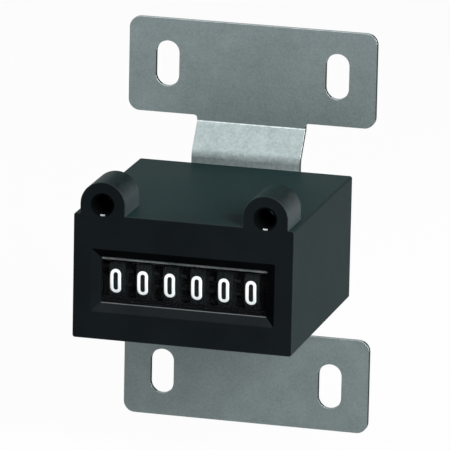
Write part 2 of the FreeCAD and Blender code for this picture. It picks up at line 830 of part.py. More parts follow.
def toothed(body, start, width, bore, root_radius, tip_radius, space_root, space_tip, count):
    """Add a gear or ratchet with flat tips; its first tooth space is on the body's +Y side."""
    blank = new_sketch(body, "YZ_Plane", start)
    reach = tip_radius / math.cos(math.pi / count)
    turns = [2 * math.pi * number / count for number in range(count)]
    polygon(blank, [(reach * math.cos(turn), reach * math.sin(turn)) for turn in turns])
    circle(blank, 0, 0, bore)
    pad(body, blank, width)
    space = new_sketch(body, "YZ_Plane", start)
    past = tip_radius + (tip_radius - root_radius) / 4
    flare = space_tip / 2 + (space_tip - space_root) / 8
    polygon(
        space,
        [
            (root_radius, -space_root / 2),
            (past, -flare),
            (past, flare),
            (root_radius, space_root / 2),
        ],
    )
    feature = pocket(body, space, width)
    ring_of(body, feature, count)


def number_wheel(order, label):
    """One moulded wheel: figure rim, gear or ratchet to its right, carry disc to its left."""
    first = order == 0
    last = order == len(WHEEL_NAMES) - 1
    bore = dims.wheel_shaft_radius + dims.running_gap
    left = -dims.rim_width / 2
    right = dims.rim_width / 2
    profile = [(left, bore), (left, wheel_radius)]
    if not first:
        disc = left - dims.carry_width
        profile = [
            (disc, bore),
            (disc, gear_root),
            (left, gear_root),
            (left, wheel_radius),
        ]
    profile += [(right, wheel_radius), (right, bore)]
    body = turned("Wheel", profile)
    if last:
        teeth = (dims.ratchet_root, dims.ratchet_tip, dims.ratchet_space_root,
                 dims.ratchet_space_tip, RATCHET_TEETH)
        toothed(body, right, dims.ratchet_width, bore, *teeth)
    else:
        teeth = (gear_root, gear_tip, dims.gear_space_root, gear_space_tip, GEAR_TEETH)
        toothed(body, right, dims.gear_width, bore, *teeth)
    if not first:
        notch = new_sketch(body, "YZ_Plane", left)
        rectangle(notch, gear_root - dims.carry_notch, gear_root + 1,
                  -dims.notch_width / 2, dims.notch_width / 2)
        pocket(body, notch, dims.carry_width, reverse=False)
    x = (order - 2.5) * dims.wheel_pitch - dims.wheel_shift
    place(body, x, wheel_y, wheel_z, axis=(1, 0, 0), angle=pinion_angle)
    return keep(body, label)


def carry_pinion(order, label):
    """Pinion with long and short teeth in turn, trapped between two figure rims."""
    gear_end = dims.gear_width
    full = dims.wheel_pitch - dims.rim_width - 2 * dims.fit_gap
    body = turned(
        "Pinion",
        [
            (0, dims.pinion_shaft_radius + dims.running_gap),
            (0, dims.pinion_root),
            (full, dims.pinion_root),
            (full, dims.pinion_shaft_radius + dims.running_gap),
        ],
    )
    depth = (dims.pinion_tip - dims.pinion_root) / 4
    flank = (dims.pinion_tooth_root - dims.pinion_tooth_tip) / 8
    for turn, length in ((0, gear_end - dims.fit_gap), (1, full)):
        sketch = new_sketch(body, "YZ_Plane")
        inner = dims.pinion_root - depth
        half_root = dims.pinion_tooth_root / 2 + flank
        half_tip = dims.pinion_tooth_tip / 2
        outline = [
            (inner, -half_root),
            (dims.pinion_tip, -half_tip),
            (dims.pinion_tip, half_tip),
            (inner, half_root),
        ]
        if turn:
            lean = math.sqrt(0.5)
            outline = [((y - z) * lean, (y + z) * lean) for y, z in outline]
        polygon(sketch, outline)
        feature = pad(body, sketch, length)
        ring_of(body, feature, PINION_TEETH // 2)
    x = (order - 2.5) * dims.wheel_pitch - dims.wheel_shift + dims.rim_width / 2 + dims.fit_gap
    place(body, x, pinion_y, pinion_z, axis=(1, 0, 0), angle=pinion_angle)
    return keep(body, label)


# Armature, verge and return spring


def verge():
    """Moulded lever on the armature shaft: tube, pallet fork, spring arm and pegged seat."""
    body = new_body("Verge")
    tube_start = -dims.armature_width / 2
    fork_start = ratchet_start + dims.fit_gap
    tube_end = fork_start + dims.verge_thickness
    tube = new_sketch(body, "YZ_Plane", tube_start)
    circle(tube, 0, 0, dims.verge_hub)
    pad(body, tube, tube_end - tube_start)

    span = root(pivot_back * pivot_back + pivot_up * pivot_up)
    tip_along = span - pallet_reach * cosine(dims.pallet_angle)
    tip_side = pallet_reach * sine(dims.pallet_angle)
    arm = dims.verge_thickness
    half_fork = [
        (0, dims.verge_hub * 0.8),
        (tip_along - 1.6 * arm, tip_side + 1.4 * arm),
        (tip_along + 0.3 * arm, tip_side + arm),
        (tip_along, tip_side),
        (tip_along - 0.8 * arm, tip_side - 0.1 * arm),
        (tip_along - 1.8 * arm, tip_side + 0.2 * arm),
    ]
    crotch = [(2.2 * dims.verge_hub, 0)]
    other_half = [(along, -side) for along, side in reversed(half_fork)]
    towards_wheel = (-pivot_back / span, -pivot_up / span)
    outline = [
        (
            along * towards_wheel[0] - side * towards_wheel[1],
            along * towards_wheel[1] + side * towards_wheel[0],
        )
        for along, side in half_fork + crotch + other_half
    ]
    fork = new_sketch(body, "YZ_Plane", fork_start)
    polygon(fork, outline)
    pad(body, fork, dims.verge_thickness)

    front = armature_front - pivot_y
    seat = new_sketch(body, "YZ_Plane", tube_start)
    rectangle(seat, front - arm, front, -3 * dims.verge_hub, 0)
    pad(body, seat, dims.armature_width)

    hook = new_sketch(body, "YZ_Plane", dims.spring_offset - 4 * dims.spring_wire)
    rectangle(hook, 0, dims.spring_arm + 4 * dims.spring_wire,
              -dims.verge_hub / 2, dims.verge_hub / 4)
    pad(body, hook, 8 * dims.spring_wire)
    hole = new_sketch(body, "XY_Plane", -dims.verge_hub)
    square(hole, dims.spring_offset, dims.spring_arm, 4 * dims.spring_wire)
    pocket(body, hole, 2 * dims.verge_hub)

    bore = new_sketch(body, "YZ_Plane", tube_start - 1)
    circle(bore, 0, 0, dims.pivot_radius + dims.running_gap)
    pocket(body, bore, tube_end - tube_start + 2)
    pegs = new_sketch(body, "XZ_Plane", -(front + dims.armature_thickness + dims.peg_side / 4))
    for side in (-1, 1):
        square(pegs, side * dims.peg_spacing / 2, -2 * dims.verge_hub, dims.peg_side)
    pad(body, pegs, dims.armature_thickness + dims.peg_side / 4)
    place(body, 0, pivot_y, pivot_z)
    return keep(body, "verge")


def armature_plate():
    """Soft-iron plate held on the verge's two pegs, in front of the core."""
    body = new_body("Armature")
    half = dims.armature_width / 2
    plate = new_sketch(body, "XZ_Plane", -dims.armature_thickness)
    top = -dims.verge_hub - dims.fit_gap
    rectangle(plate, -half, half, top - dims.armature_length, top)
    for side in (-1, 1):
        square(plate, side * dims.peg_spacing / 2, -2 * dims.verge_hub,
               dims.peg_side + 2 * dims.bore_gap)
    pad(body, plate, dims.armature_thickness)
    place(body, 0, armature_front, pivot_z)
    return keep(body, "armature_plate")


def armature_spring():
    """Coil spring from the verge's arm to the frame's tab, drawn as short straight runs."""
    coil = dims.spring_coil.value
    wire = dims.spring_wire.value
    rise = dims.spring_rise.value
    turns = round(dims.spring_turns.value)
    low = frame_floor.value
    high = (pivot_z + dims.verge_hub / 4).value + wire
    start = (low + high - rise * turns) / 2
    points = [Vector(coil, 0, low - start)]
    for run in range(turns * SPRING_RUNS + 1):
        angle = 2 * math.pi * run / SPRING_RUNS
        height = rise * run / SPRING_RUNS
        points.append(Vector(coil * math.cos(angle), coil * math.sin(angle), height))
    points.append(Vector(coil, 0, high - start))
    corners = [
        points[0] + Vector(wire * math.cos(angle), wire * math.sin(angle), 0)
        for angle in (0, math.pi / 2, math.pi, 3 * math.pi / 2, 0)
    ]
    sweep = Part.BRepOffsetAPI.MakePipeShell(Part.makePolygon(points))
    sweep.setTransitionMode(1)
    sweep.add(Part.makePolygon(corners), False, False)
    sweep.build()
    sweep.makeSolid()
    item = doc.addObject("Part::Feature", "Spring")
    item.Shape = sweep.shape()
    x = dims.spring_offset.value - coil
    y = (pivot_y + dims.spring_arm).value
    item.Placement = Placement(Vector(x, y, start), Rotation())
    return keep(item, "armature_spring")


# Electromagnet


def turned_along_y(name, profile, start, height):
    """A turned piece whose axis runs from front to rear."""
    body = turned(name, profile)
    place(body, 0, start, height, axis=(0, 0, 1), angle=90)
    return body


def magnet_core():
    """Iron core with a thinner tenon riveted through the yoke and the frame."""
    length = yoke_front - core_front
    profile = [
        (0, 0),
        (0, dims.core_radius),
        (length, dims.core_radius),
        (length, dims.tenon_radius),
        (cover_front - core_front, dims.tenon_radius),
        (cover_front - core_front, 0),
    ]
    body = turned_along_y("Core", profile, core_front, coil_z)
    return keep(body, "magnet_core")


def coil_bobbin():
    """Moulded bobbin with a terminal block at its rear flange."""
    bore = dims.core_radius + dims.bore_gap
    tube = bore + dims.bobbin_wall
    length = yoke_front - bobbin_front
    profile = [
        (0, bore),
        (0, bobbin_radius),
        (dims.bobbin_flange, bobbin_radius),
        (dims.bobbin_flange, tube),
        (length - dims.bobbin_flange, tube),
        (length - dims.bobbin_flange, bobbin_radius),
        (length, bobbin_radius),
        (length, bore),
    ]
    body = turned_along_y("Bobbin", profile, bobbin_front, coil_z)
    outer = tag_x() + 1.5 * dims.tag_spacing
    mid = -bobbin_radius * 0.75
    beside_winding = winding_radius + dims.fit_gap
    for inner, depth in ((bobbin_radius / 2, 1), (beside_winding, 2)):
        block = new_sketch(body, "YZ_Plane", length - depth * dims.bobbin_flange)
        rectangle(block, inner, outer, mid - dims.tag_block / 2, mid + dims.tag_block / 2)
        pad(body, block, depth * dims.bobbin_flange)
    holes = new_sketch(body, "YZ_Plane", length - 3 * dims.bobbin_flange)
    for number in (0, 1):
        square(holes, tag_x() + number * dims.tag_spacing, mid, dims.tag_side + 2 * dims.bore_gap)
    pocket(body, holes, 4 * dims.bobbin_flange)
    return keep(body, "coil_bobbin")


def tag_x():
    """Distance of the inner terminal pin to the left of the coil's axis."""
    return bobbin_radius + dims.tag_spacing / 4


def coil_winding():
    """The coil of enamelled wire, as one ring of its outer shape."""
    tube = dims.core_radius + dims.bore_gap + dims.bobbin_wall
    start = bobbin_front + dims.bobbin_flange
    length = yoke_front - bobbin_front - 2 * dims.bobbin_flange
    profile = [
        (0, tube),
        (0, winding_radius),
        (length, winding_radius),
        (length, tube),
    ]
    body = turned_along_y("Winding", profile, start, coil_z)
    return keep(body, "coil_winding")


def magnet_yoke():
    """L-shaped iron yoke behind and above the coil."""
    body = new_body("Yoke")
    top = inner_top - dims.yoke_top
    side = new_sketch(body, "YZ_Plane", -dims.yoke_width / 2)
    tip = pivot_y + dims.verge_hub + 4 * dims.fit_gap
    polygon(
        side,
        [
            (wall_front, top),
            (tip, top),
            (tip, yoke_low),
            (yoke_front, yoke_low),
            (yoke_front, coil_z - bobbin_radius),
            (wall_front, coil_z - bobbin_radius),
        ],
    )
    pad(body, side, dims.yoke_width)
    hole = new_sketch(body, "XZ_Plane", -(wall_front + 1))
    circle(hole, 0, coil_z, dims.tenon_radius + dims.bore_gap)
    pocket(body, hole, dims.yoke_sheet + 2)
    return keep(body, "magnet_yoke")


def terminal_pins():
    """Two tinned pins in the bobbin's terminal block, where the leads are soldered."""
    pins = []
    for number in (0, 1):
        pin = doc.addObject("Part::Box", "Pin")
        bind(pin, "Length", dims.tag_side)
        bind(pin, "Width", dims.tag_length)
        bind(pin, "Height", dims.tag_side)
        x = -(tag_x() + number * dims.tag_spacing) - dims.tag_side / 2
        start = yoke_front - 2 * dims.bobbin_flange
        place(pin, x, start, coil_z - bobbin_radius * 0.75 - dims.tag_side / 2)
        pins.append(pin)
    group = doc.addObject("Part::Compound", "Pins")
    group.Links = pins
    return keep(group, "terminal_pins")


def build_all():
    mounting_bracket()
    case_shell()
    rear_cover()
    flat_pane("Lens", "window_lens", lens_front, dims.lens_thickness)
    flat_pane("Mask", "figure_mask", mask_front, dims.mask_thickness, dims.mask_opening)
    lead_grommet()
    bracket_screws()
    movement_frame()
    shafts_and_spacers()
    for order, label in enumerate(WHEEL_NAMES):
        number_wheel(order, label)
    for order, label in enumerate(WHEEL_NAMES[:-1]):
        carry_pinion(order, label.replace("_wheel", "_pinion"))
    verge()
    armature_plate()
    armature_spring()
    magnet_core()
    coil_bobbin()
    coil_winding()
    magnet_yoke()
    terminal_pins()


def check_and_write():
    """Stop if anything failed, then write each piece to its own file."""
    doc.recompute()
    for item in doc.Objects:
        failed = {"Invalid", "Error"} & set(item.State)
        assert not failed, f"{item.Label}: {item.State}"
    for item in parts:
        assert not item.Shape.isNull() and item.Shape.isValid(), f"{item.Label}: bad shape"
        assert item.Shape.Solids, f"{item.Label}: no solid"
    os.makedirs("parts", exist_ok=True)
    for item in parts:
        item.Shape.exportStep(f"parts/{item.Label}.step")
        print(f"{item.Label}: {len(item.Shape.Solids)} solid, {item.Shape.Volume:.1f} mm3")


build_all()
check_and_write()
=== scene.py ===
"""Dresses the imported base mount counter: finishes, figures and fine edges, in a plain studio."""

import logging
import math
from collections.abc import Callable
from dataclasses import dataclass
from enum import Enum

import bpy
from mathutils import Matrix, Vector

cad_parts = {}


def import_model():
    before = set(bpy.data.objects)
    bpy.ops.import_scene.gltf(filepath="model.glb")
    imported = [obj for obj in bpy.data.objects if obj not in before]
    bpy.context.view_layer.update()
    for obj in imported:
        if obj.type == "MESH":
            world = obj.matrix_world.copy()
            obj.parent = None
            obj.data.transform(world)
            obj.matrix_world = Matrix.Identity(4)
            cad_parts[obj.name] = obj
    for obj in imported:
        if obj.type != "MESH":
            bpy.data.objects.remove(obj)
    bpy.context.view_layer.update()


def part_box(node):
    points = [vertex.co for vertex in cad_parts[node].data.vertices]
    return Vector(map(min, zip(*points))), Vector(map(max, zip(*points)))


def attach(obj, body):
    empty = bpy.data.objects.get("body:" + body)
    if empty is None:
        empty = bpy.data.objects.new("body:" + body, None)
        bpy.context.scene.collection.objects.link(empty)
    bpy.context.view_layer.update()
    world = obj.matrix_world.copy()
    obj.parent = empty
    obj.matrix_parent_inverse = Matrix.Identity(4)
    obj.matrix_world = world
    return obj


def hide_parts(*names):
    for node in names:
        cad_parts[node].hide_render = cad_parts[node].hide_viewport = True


LOG = logging.getLogger("counter")
MM = 0.001
MERGE_WITHIN = 0.0005 * MM
ONE_PLANE = math.radians(0.3)
SMOOTH_BELOW = math.radians(50)
PHOTO_SIDE = 450
WINDOW_LEVEL = -0.2
WINDOW_RISE = 4.5
WHEELS = ("units", "tens", "hundreds", "thousands", "ten_thousands", "hundred_thousands")
FIGURE_STEP = math.radians(36)

Triple = tuple[float, float, float]
Pair = tuple[float, float]
Stroke = list[Pair]
Piece = bpy.types.Object
Face = bpy.types.MeshPolygon
Node = bpy.types.Node
Socket = bpy.types.NodeSocket
Test = Callable[[Face], bool]
Kinds = tuple["Finish", ...]
Values = dict[str | int, float | tuple[float, ...] | Socket]


def mm(x: float, y: float, z: float) -> Vector:
    """Give a point, written in millimetres, in metres."""
    return Vector((x, y, z)) * MM


class Side(Enum):
    """The left or the right of the counter, as the reader faces it."""

    LEFT = -1
    RIGHT = 1


# Modelling


class Bench:
    """Modelling steps that the sub-assemblies share, done with Blender's own operators."""

    @staticmethod
    def clear() -> None:
        """Leave edit mode and deselect everything."""
        if bpy.context.object and bpy.context.object.mode != "OBJECT":
            bpy.ops.object.mode_set(mode="OBJECT")
        bpy.ops.object.select_all(action="DESELECT")

    @staticmethod
    def hold(piece: Piece) -> None:
        """Select one piece alone and make it the active one.

        Args:
            piece: The piece to work on.
        """
        Bench.clear()
        piece.select_set(True)
        bpy.context.view_layer.objects.active = piece

    @staticmethod
    def settle(piece: Piece) -> None:
        """Move a piece's place, turn and size into its mesh."""
        Bench.hold(piece)
        bpy.ops.object.transform_apply()

    @staticmethod
    def finish_modifiers(piece: Piece) -> None:
        """Apply every modifier of a piece, in order.

        Args:
            piece: The piece to finish.
        """
        Bench.hold(piece)
        for modifier in list(piece.modifiers):
            bpy.ops.object.modifier_apply(modifier=modifier.name)

    @staticmethod
    def clean(piece: Piece) -> None:
        """Merge doubled points and join triangles that lie in one plane.

        Args:
            piece: The piece to clean.
        """
        Bench.hold(piece)
        bpy.ops.object.mode_set(mode="EDIT")
        bpy.ops.mesh.select_all(action="SELECT")
        bpy.ops.mesh.remove_doubles(threshold=MERGE_WITHIN)
        bpy.ops.mesh.dissolve_limited(angle_limit=ONE_PLANE)
        bpy.ops.object.mode_set(mode="OBJECT")

    @staticmethod
    def split(piece: Piece, places: list[Vector], normal: Triple) -> None:
        """Add edge loops where flat cuts pass through a piece, and keep it whole.

        Args:
            piece: The piece.
            places: A point on each cut.
            normal: The direction that all the cuts face.
        """
        Bench.hold(piece)
        bpy.ops.object.mode_set(mode="EDIT")
        for place in places:
            bpy.ops.mesh.select_all(action="SELECT")
            bpy.ops.mesh.bisect(plane_co=place, plane_no=normal)
        bpy.ops.object.mode_set(mode="OBJECT")

    @staticmethod
    def join(pieces: list[Piece]) -> Piece:
        """Join pieces into one.

        Args:
            pieces: The pieces.

        Returns:
            The first of them, which now holds them all.
        """
        Bench.clear()
        for piece in pieces:
            piece.select_set(True)
        bpy.context.view_layer.objects.active = pieces[0]
        bpy.ops.object.join()
        return pieces[0]

    @staticmethod
    def put(name: str, data: bpy.types.ID) -> Piece:
        """Put a new object in the scene.

        Args:
            name: Its name.
            data: Its mesh, curve, lamp or camera data.

        Returns:
            The object, at the origin.
        """
        item = bpy.data.objects.new(name, data)
        bpy.context.scene.collection.objects.link(item)
        return item

    @staticmethod
    def copy_of(node: str, name: str) -> Piece:
        """Make a loose copy of a CAD node, with clean faces, to shape further.

        Args:
            node: The CAD node's name.
            name: The new piece's name.

        Returns:
            The new piece, at the origin.
        """
        piece = Bench.put(name, bpy.data.objects[node].data.copy())
        piece.data.name = name
        Bench.clean(piece)
        return piece

    @staticmethod
    def ease_edges(
        piece: Piece, width: float, segments: int = 2, angle: float = 32.0, slot: int = -1
    ) -> None:
        """Round a piece's sharp edges and shade it smooth between them.

        Args:
            piece: The piece to round.
            width: The width of the rounding, in millimetres.
            segments: How many flats make the rounding.
            angle: Edges that turn more than this, in degrees, are rounded.
            slot: The material slot that the rounding takes, or -1 for that of its neighbours.
        """
        bevel = piece.modifiers.new("Eased edges", "BEVEL")
        bevel.width = width * MM
        bevel.segments = segments
        bevel.limit_method = "ANGLE"
        bevel.angle_limit = math.radians(angle)
        bevel.miter_outer = "MITER_ARC"
        bevel.material = slot
        Bench.finish_modifiers(piece)
        bpy.ops.object.shade_smooth_by_angle(angle=SMOOTH_BELOW)
        flat = piece.modifiers.new("Flat faces", "WEIGHTED_NORMAL")
        flat.keep_sharp = True
        flat.weight = 80
        Bench.finish_modifiers(piece)

    @staticmethod
    def fill_slots(piece: Piece, kinds: Kinds) -> None:
        """Put finishes in a piece's material slots, in place of what was there.

        Args:
            piece: The piece.
            kinds: The finishes, in the order of the slots.
        """
        piece.data.materials.clear()
        for kind in kinds:
            piece.data.materials.append(kind.get())

    @staticmethod
    def finish_faces(piece: Piece, *rules: tuple["Finish", Test]) -> None:
        """Change the finish of some faces, one rule after the other.

        Args:
            piece: The piece, with its slots filled.
            rules: Each rule's finish, and the test that picks the faces that take it.
        """
        for kind, wanted in rules:
            slot = piece.data.materials.find(kind.value.name)
            for face in piece.data.polygons:
                if wanted(face):
                    face.material_index = slot

    @staticmethod
    def dress(piece: Piece, kinds: Kinds, body: str, slot: str, *nodes: str) -> None:
        """Give a piece its finishes and its body, and hide the nodes that it stands for.

        Args:
            piece: The finished piece.
            kinds: Its finishes. With more than one, its faces keep their slot numbers.
            body: The CAD body that it rides on.
            slot: A material slot's name. It is not used.
            nodes: The CAD nodes that it replaces.
        """
        numbers = [face.material_index for face in piece.data.polygons]
        Bench.fill_slots(piece, kinds)
        if len(kinds) > 1:
            piece.data.polygons.foreach_set("material_index", numbers)
        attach(piece, body)
        if nodes:
            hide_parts(*nodes)
        LOG.info("%s rides on %s, %d faces", piece.name, body, len(piece.data.polygons))

    @staticmethod
    def repaint(node: str, kind: "Finish") -> None:
        """Give a CAD node that stays a better finish.

        Args:
            node: The CAD node's name.
            kind: Its new finish.
        """
        item = bpy.data.objects[node]
        finish = kind.get()
        for place in item.material_slots:
            place.material = finish
        LOG.info("%s repainted", node)


# Finishes


class Board:
    """A node board, with short calls for the nodes that the finishes and the studio use."""

    def __init__(self, name: str, lights_world: bool = False) -> None:
        """Start an empty board.

        Args:
            name: The name of the material or the world.
            lights_world: Whether it belongs to a new world, and not to a new material.
        """
        self.owner = (bpy.data.worlds if lights_world else bpy.data.materials).new(name)
        self.owner.use_nodes = True
        self.tree = self.owner.node_tree
        self.tree.nodes.clear()
        self.output = self.add("ShaderNodeOutputWorld" if lights_world else "ShaderNodeOutputMaterial")

    def add(self, kind: str, values: Values | None = None, **settings: str) -> Node:
        """Add a node.

        Args:
            kind: Blender's name for the node.
            values: What its sockets hold or are joined to, by the socket's name or number.
            settings: Attributes of the node, by name.

        Returns:
            The new node.
        """
        node = self.tree.nodes.new(kind)
        for name, value in settings.items():
            setattr(node, name, value)
        for socket, value in (values or {}).items():
            if isinstance(value, Socket):
                self.tree.links.new(value, node.inputs[socket])
            else:
                node.inputs[socket].default_value = value
        return node

    def place(self, scale: Triple = (1, 1, 1)) -> Socket:
        """Give the point on the object, stretched for patterns that run one way.

        Args:
            scale: How much the pattern is squeezed along each axis.

        Returns:
            The socket that holds the point.
        """
        where = self.add("ShaderNodeTexCoord").outputs["Object"]
        return self.add("ShaderNodeMapping", {"Vector": where, "Scale": scale}).outputs["Vector"]

    def noise(self, where: Socket, size: float, detail: float = 3.0, rough: float = 0.5) -> Socket:
        """Add a cloudy pattern.

        Args:
            where: The socket that holds the point.
            size: The size of its grains, in millimetres.
            detail: How many finer layers it has.
            rough: How strong the finer layers are.

        Returns:
            The socket that holds its strength, from 0 to 1.
        """
        grains = {"Vector": where, "Scale": 1.0 / (size * MM), "Detail": detail, "Roughness": rough}
        return self.add("ShaderNodeTexNoise", grains).outputs["Fac"]

    def spread(self, value: Socket, low: float, high: float, start: float = 0.3, end: float = 0.7) -> Socket:
        """Spread a pattern's middle range over new limits.

        Args:
            value: The pattern.
            low: The result at the range's start.
            high: The result at the range's end.
            start: The pattern's value that gives low.
            end: The pattern's value that gives high.

        Returns:
            The socket that holds the result.
        """
        limits = {"From Min": start, "From Max": end, "To Min": low, "To Max": high}
        return self.add("ShaderNodeMapRange", {"Value": value, **limits}).outputs["Result"]

    def blend(self, share: Socket, first: Triple, second: Triple) -> Socket:
        """Blend two colours by a pattern.

        Args:
            share: How much of the second colour shows.
            first: The first colour, linear.
            second: The second colour, linear.

        Returns:
            The socket that holds the colour.
        """
        node = self.add("ShaderNodeMix", {"Factor": share}, data_type="RGBA")
        colours = [socket for socket in node.inputs if socket.type == "RGBA"]
        colours[0].default_value = (*first, 1)
        colours[1].default_value = (*second, 1)
        return next(socket for socket in node.outputs if socket.type == "RGBA")

    def total(self, first: Socket, second: Socket, share: float) -> Socket:
        """Add a share of a second pattern to a first one.

        Args:
            first: The first pattern.
            second: The second pattern.
            share: How strongly the second one counts.

        Returns:
            The socket that holds the sum.
        """
        values = {0: second, 1: share, 2: first}
        return self.add("ShaderNodeMath", values, operation="MULTIPLY_ADD").outputs["Value"]

    def bump(self, height: Socket, depth: float) -> Socket:
        """Turn a pattern into relief.

        Args:
            height: The pattern.
            depth: How deep it is, in millimetres.

        Returns:
            The socket that holds the normal.
        """
        values = {"Height": height, "Strength": 1.0, "Distance": depth * MM}
        return self.add("ShaderNodeBump", values).outputs["Normal"]

    def shader(self, values: Values) -> None:
        """Add the main shader, with these values and links, and join it to the output."""
        node = self.add("ShaderNodeBsdfPrincipled", values)
        self.tree.links.new(node.outputs["BSDF"], self.output.inputs["Surface"])

    def mix(self, share: Socket, first: Node, second: Node) -> None:
        """Blend two shaders and join the result to the output.

        Args:
            share: How much of the second shader shows.
            first: The first shader.
            second: The second shader.
        """
        values = {"Fac": share, 1: first.outputs[0], 2: second.outputs[0]}
        node = self.add("ShaderNodeMixShader", values)
        self.tree.links.new(node.outputs["Shader"], self.output.inputs["Surface"])

    def seen(self) -> Socket:
        """Tell apart the rays that show white from those that only light things.

        Returns:
            The socket that is 1 for camera, transmission and glossy rays, and 0 for others.
        """
        rays = self.add("ShaderNodeLightPath").outputs
        found = rays["Is Camera Ray"]
        for kind in ("Is Transmission Ray", "Is Glossy Ray"):
            either = {0: found, 1: rays[kind]}
            found = self.add("ShaderNodeMath", either, operation="MAXIMUM").outputs["Value"]
        return found


@dataclass(frozen=True)
class Moulding:
    """A moulded plastic or rubber with a spark-eroded grain and slight changes of tone.

    The fade, if there is one, runs from the dark colour at its first height to the light one at
    its second, in millimetres.
    """

    name: str
    dark: Triple
    light: Triple
    smooth: float
    rough: float
    gloss: float = 0.3
    grain: float = 0.12
    depth: float = 0.004
    tone: float = 9.0
    haze: float = 0.0
    haze_tint: Triple = (0.3, 1.0, 0.97)
    fade: Pair | None = None

    def make(self) -> bpy.types.Material:
        """Build the material."""
        board = Board(self.name)
        where = board.place()
        cloud = board.noise(where, self.tone, 4.0, 0.6)
        fine = board.noise(where, self.grain, 2.0, 0.6)
        share = board.spread(board.total(cloud, fine, 0.35), 0.0, 1.0, 0.45, 0.9)
        if self.fade:
            dark_level, light_level = self.fade
            parts = board.add("ShaderNodeSeparateXYZ", {"Vector": where})
            rise = board.spread(parts.outputs["Z"], 0.0, 1.0, dark_level * MM, light_level * MM)
            share = board.spread(board.total(rise, share, 0.3), 0.0, 1.0, 0.15, 1.15)
        board.shader({
            "Base Color": board.blend(share, self.dark, self.light),
            "Roughness": board.spread(fine, self.smooth, self.rough),
            "Normal": board.bump(fine, self.depth),
            "Specular IOR Level": self.gloss,
            "Sheen Weight": self.haze,
            "Sheen Roughness": 0.5,
            "Sheen Tint": (*self.haze_tint, 1),
        })
        return board.owner


@dataclass(frozen=True)
class Plating:
    """A plated or ground metal: fine crystals, faint clouds and, if asked, drawn lines."""

    name: str
    dull: Triple
    bright: Triple
    smooth: float
    rough: float
    crystal: float = 0.35
    cloud: float = 5.0
    depth: float = 0.002
    drawn: Triple = (1, 1, 1)
    metal: float = 1.0

    def make(self) -> bpy.types.Material:
        """Build the material."""
        board = Board(self.name)
        where = board.place(self.drawn)
        cells = board.add("ShaderNodeTexVoronoi", {"Vector": where, "Scale": 1.0 / (self.crystal * MM)})
        grey = board.add("ShaderNodeSeparateColor", {"Color": cells.outputs["Color"]})
        fine = board.noise(where, self.crystal, 4.0, 0.7)
        cloud = board.noise(where, self.cloud, 3.0, 0.55)
        speckle = board.total(fine, grey.outputs["Red"], 0.25)
        tone = board.spread(board.total(speckle, cloud, 0.6), 0.0, 1.0, 0.55, 1.25)
        board.shader({
            "Base Color": board.blend(tone, self.dull, self.bright),
            "Roughness": board.spread(speckle, self.smooth, self.rough, 0.3, 0.9),
            "Normal": board.bump(speckle, self.depth),
            "Metallic": self.metal,
            "Specular IOR Level": self.metal / 2,
        })
        return board.owner


@dataclass(frozen=True)
class ClearPane:
    """A clear moulded pane: it lets light straight through and glints at a low angle."""

    name: str
    tint: Triple
    index: float

    def make(self) -> bpy.types.Material:
        """Build the material."""
        board = Board(self.name)
        smear = board.noise(board.place(), 6.0, 2.0)
        clear = board.add("ShaderNodeBsdfTransparent", {"Color": (*self.tint, 1)})
        gloss = board.add("ShaderNodeBsdfGlossy", {"Roughness": board.spread(smear, 0.05, 0.12)})
        angle = board.add("ShaderNodeFresnel", {"IOR": self.index}).outputs["Fac"]
        inner = board.add("ShaderNodeNewGeometry").outputs["Backfacing"]
        outer = board.spread(inner, 1.0, 0.0, 0.0, 1.0)
        glint = board.add("ShaderNodeMath", {0: angle, 1: outer}, operation="MULTIPLY")
        board.mix(glint.outputs["Value"], clear, gloss)
        return board.owner


@dataclass(frozen=True)
class Winding:
    """Enamelled wire, wound turn beside turn round the Y axis."""

    name: str
    gap: Triple
    wire: Triple
    pitch: float

    def make(self) -> bpy.types.Material:
        """Build the material."""
        board = Board(self.name)
        turns = {"Scale": 1.0 / (self.pitch * MM * 3.14), "Distortion": 0.6, "Detail": 1.0}
        values = {"Vector": board.place(), **turns}
        wave = board.add("ShaderNodeTexWave", values, bands_direction="Y").outputs["Fac"]
        board.shader({
            "Base Color": board.blend(wave, self.gap, self.wire),
            "Roughness": board.spread(wave, 0.5, 0.25),
            "Normal": board.bump(wave, self.pitch / 3),
            "Metallic": 0.75,
            "Coat Weight": 0.6,
            "Coat Roughness": 0.12,
        })
        return board.owner


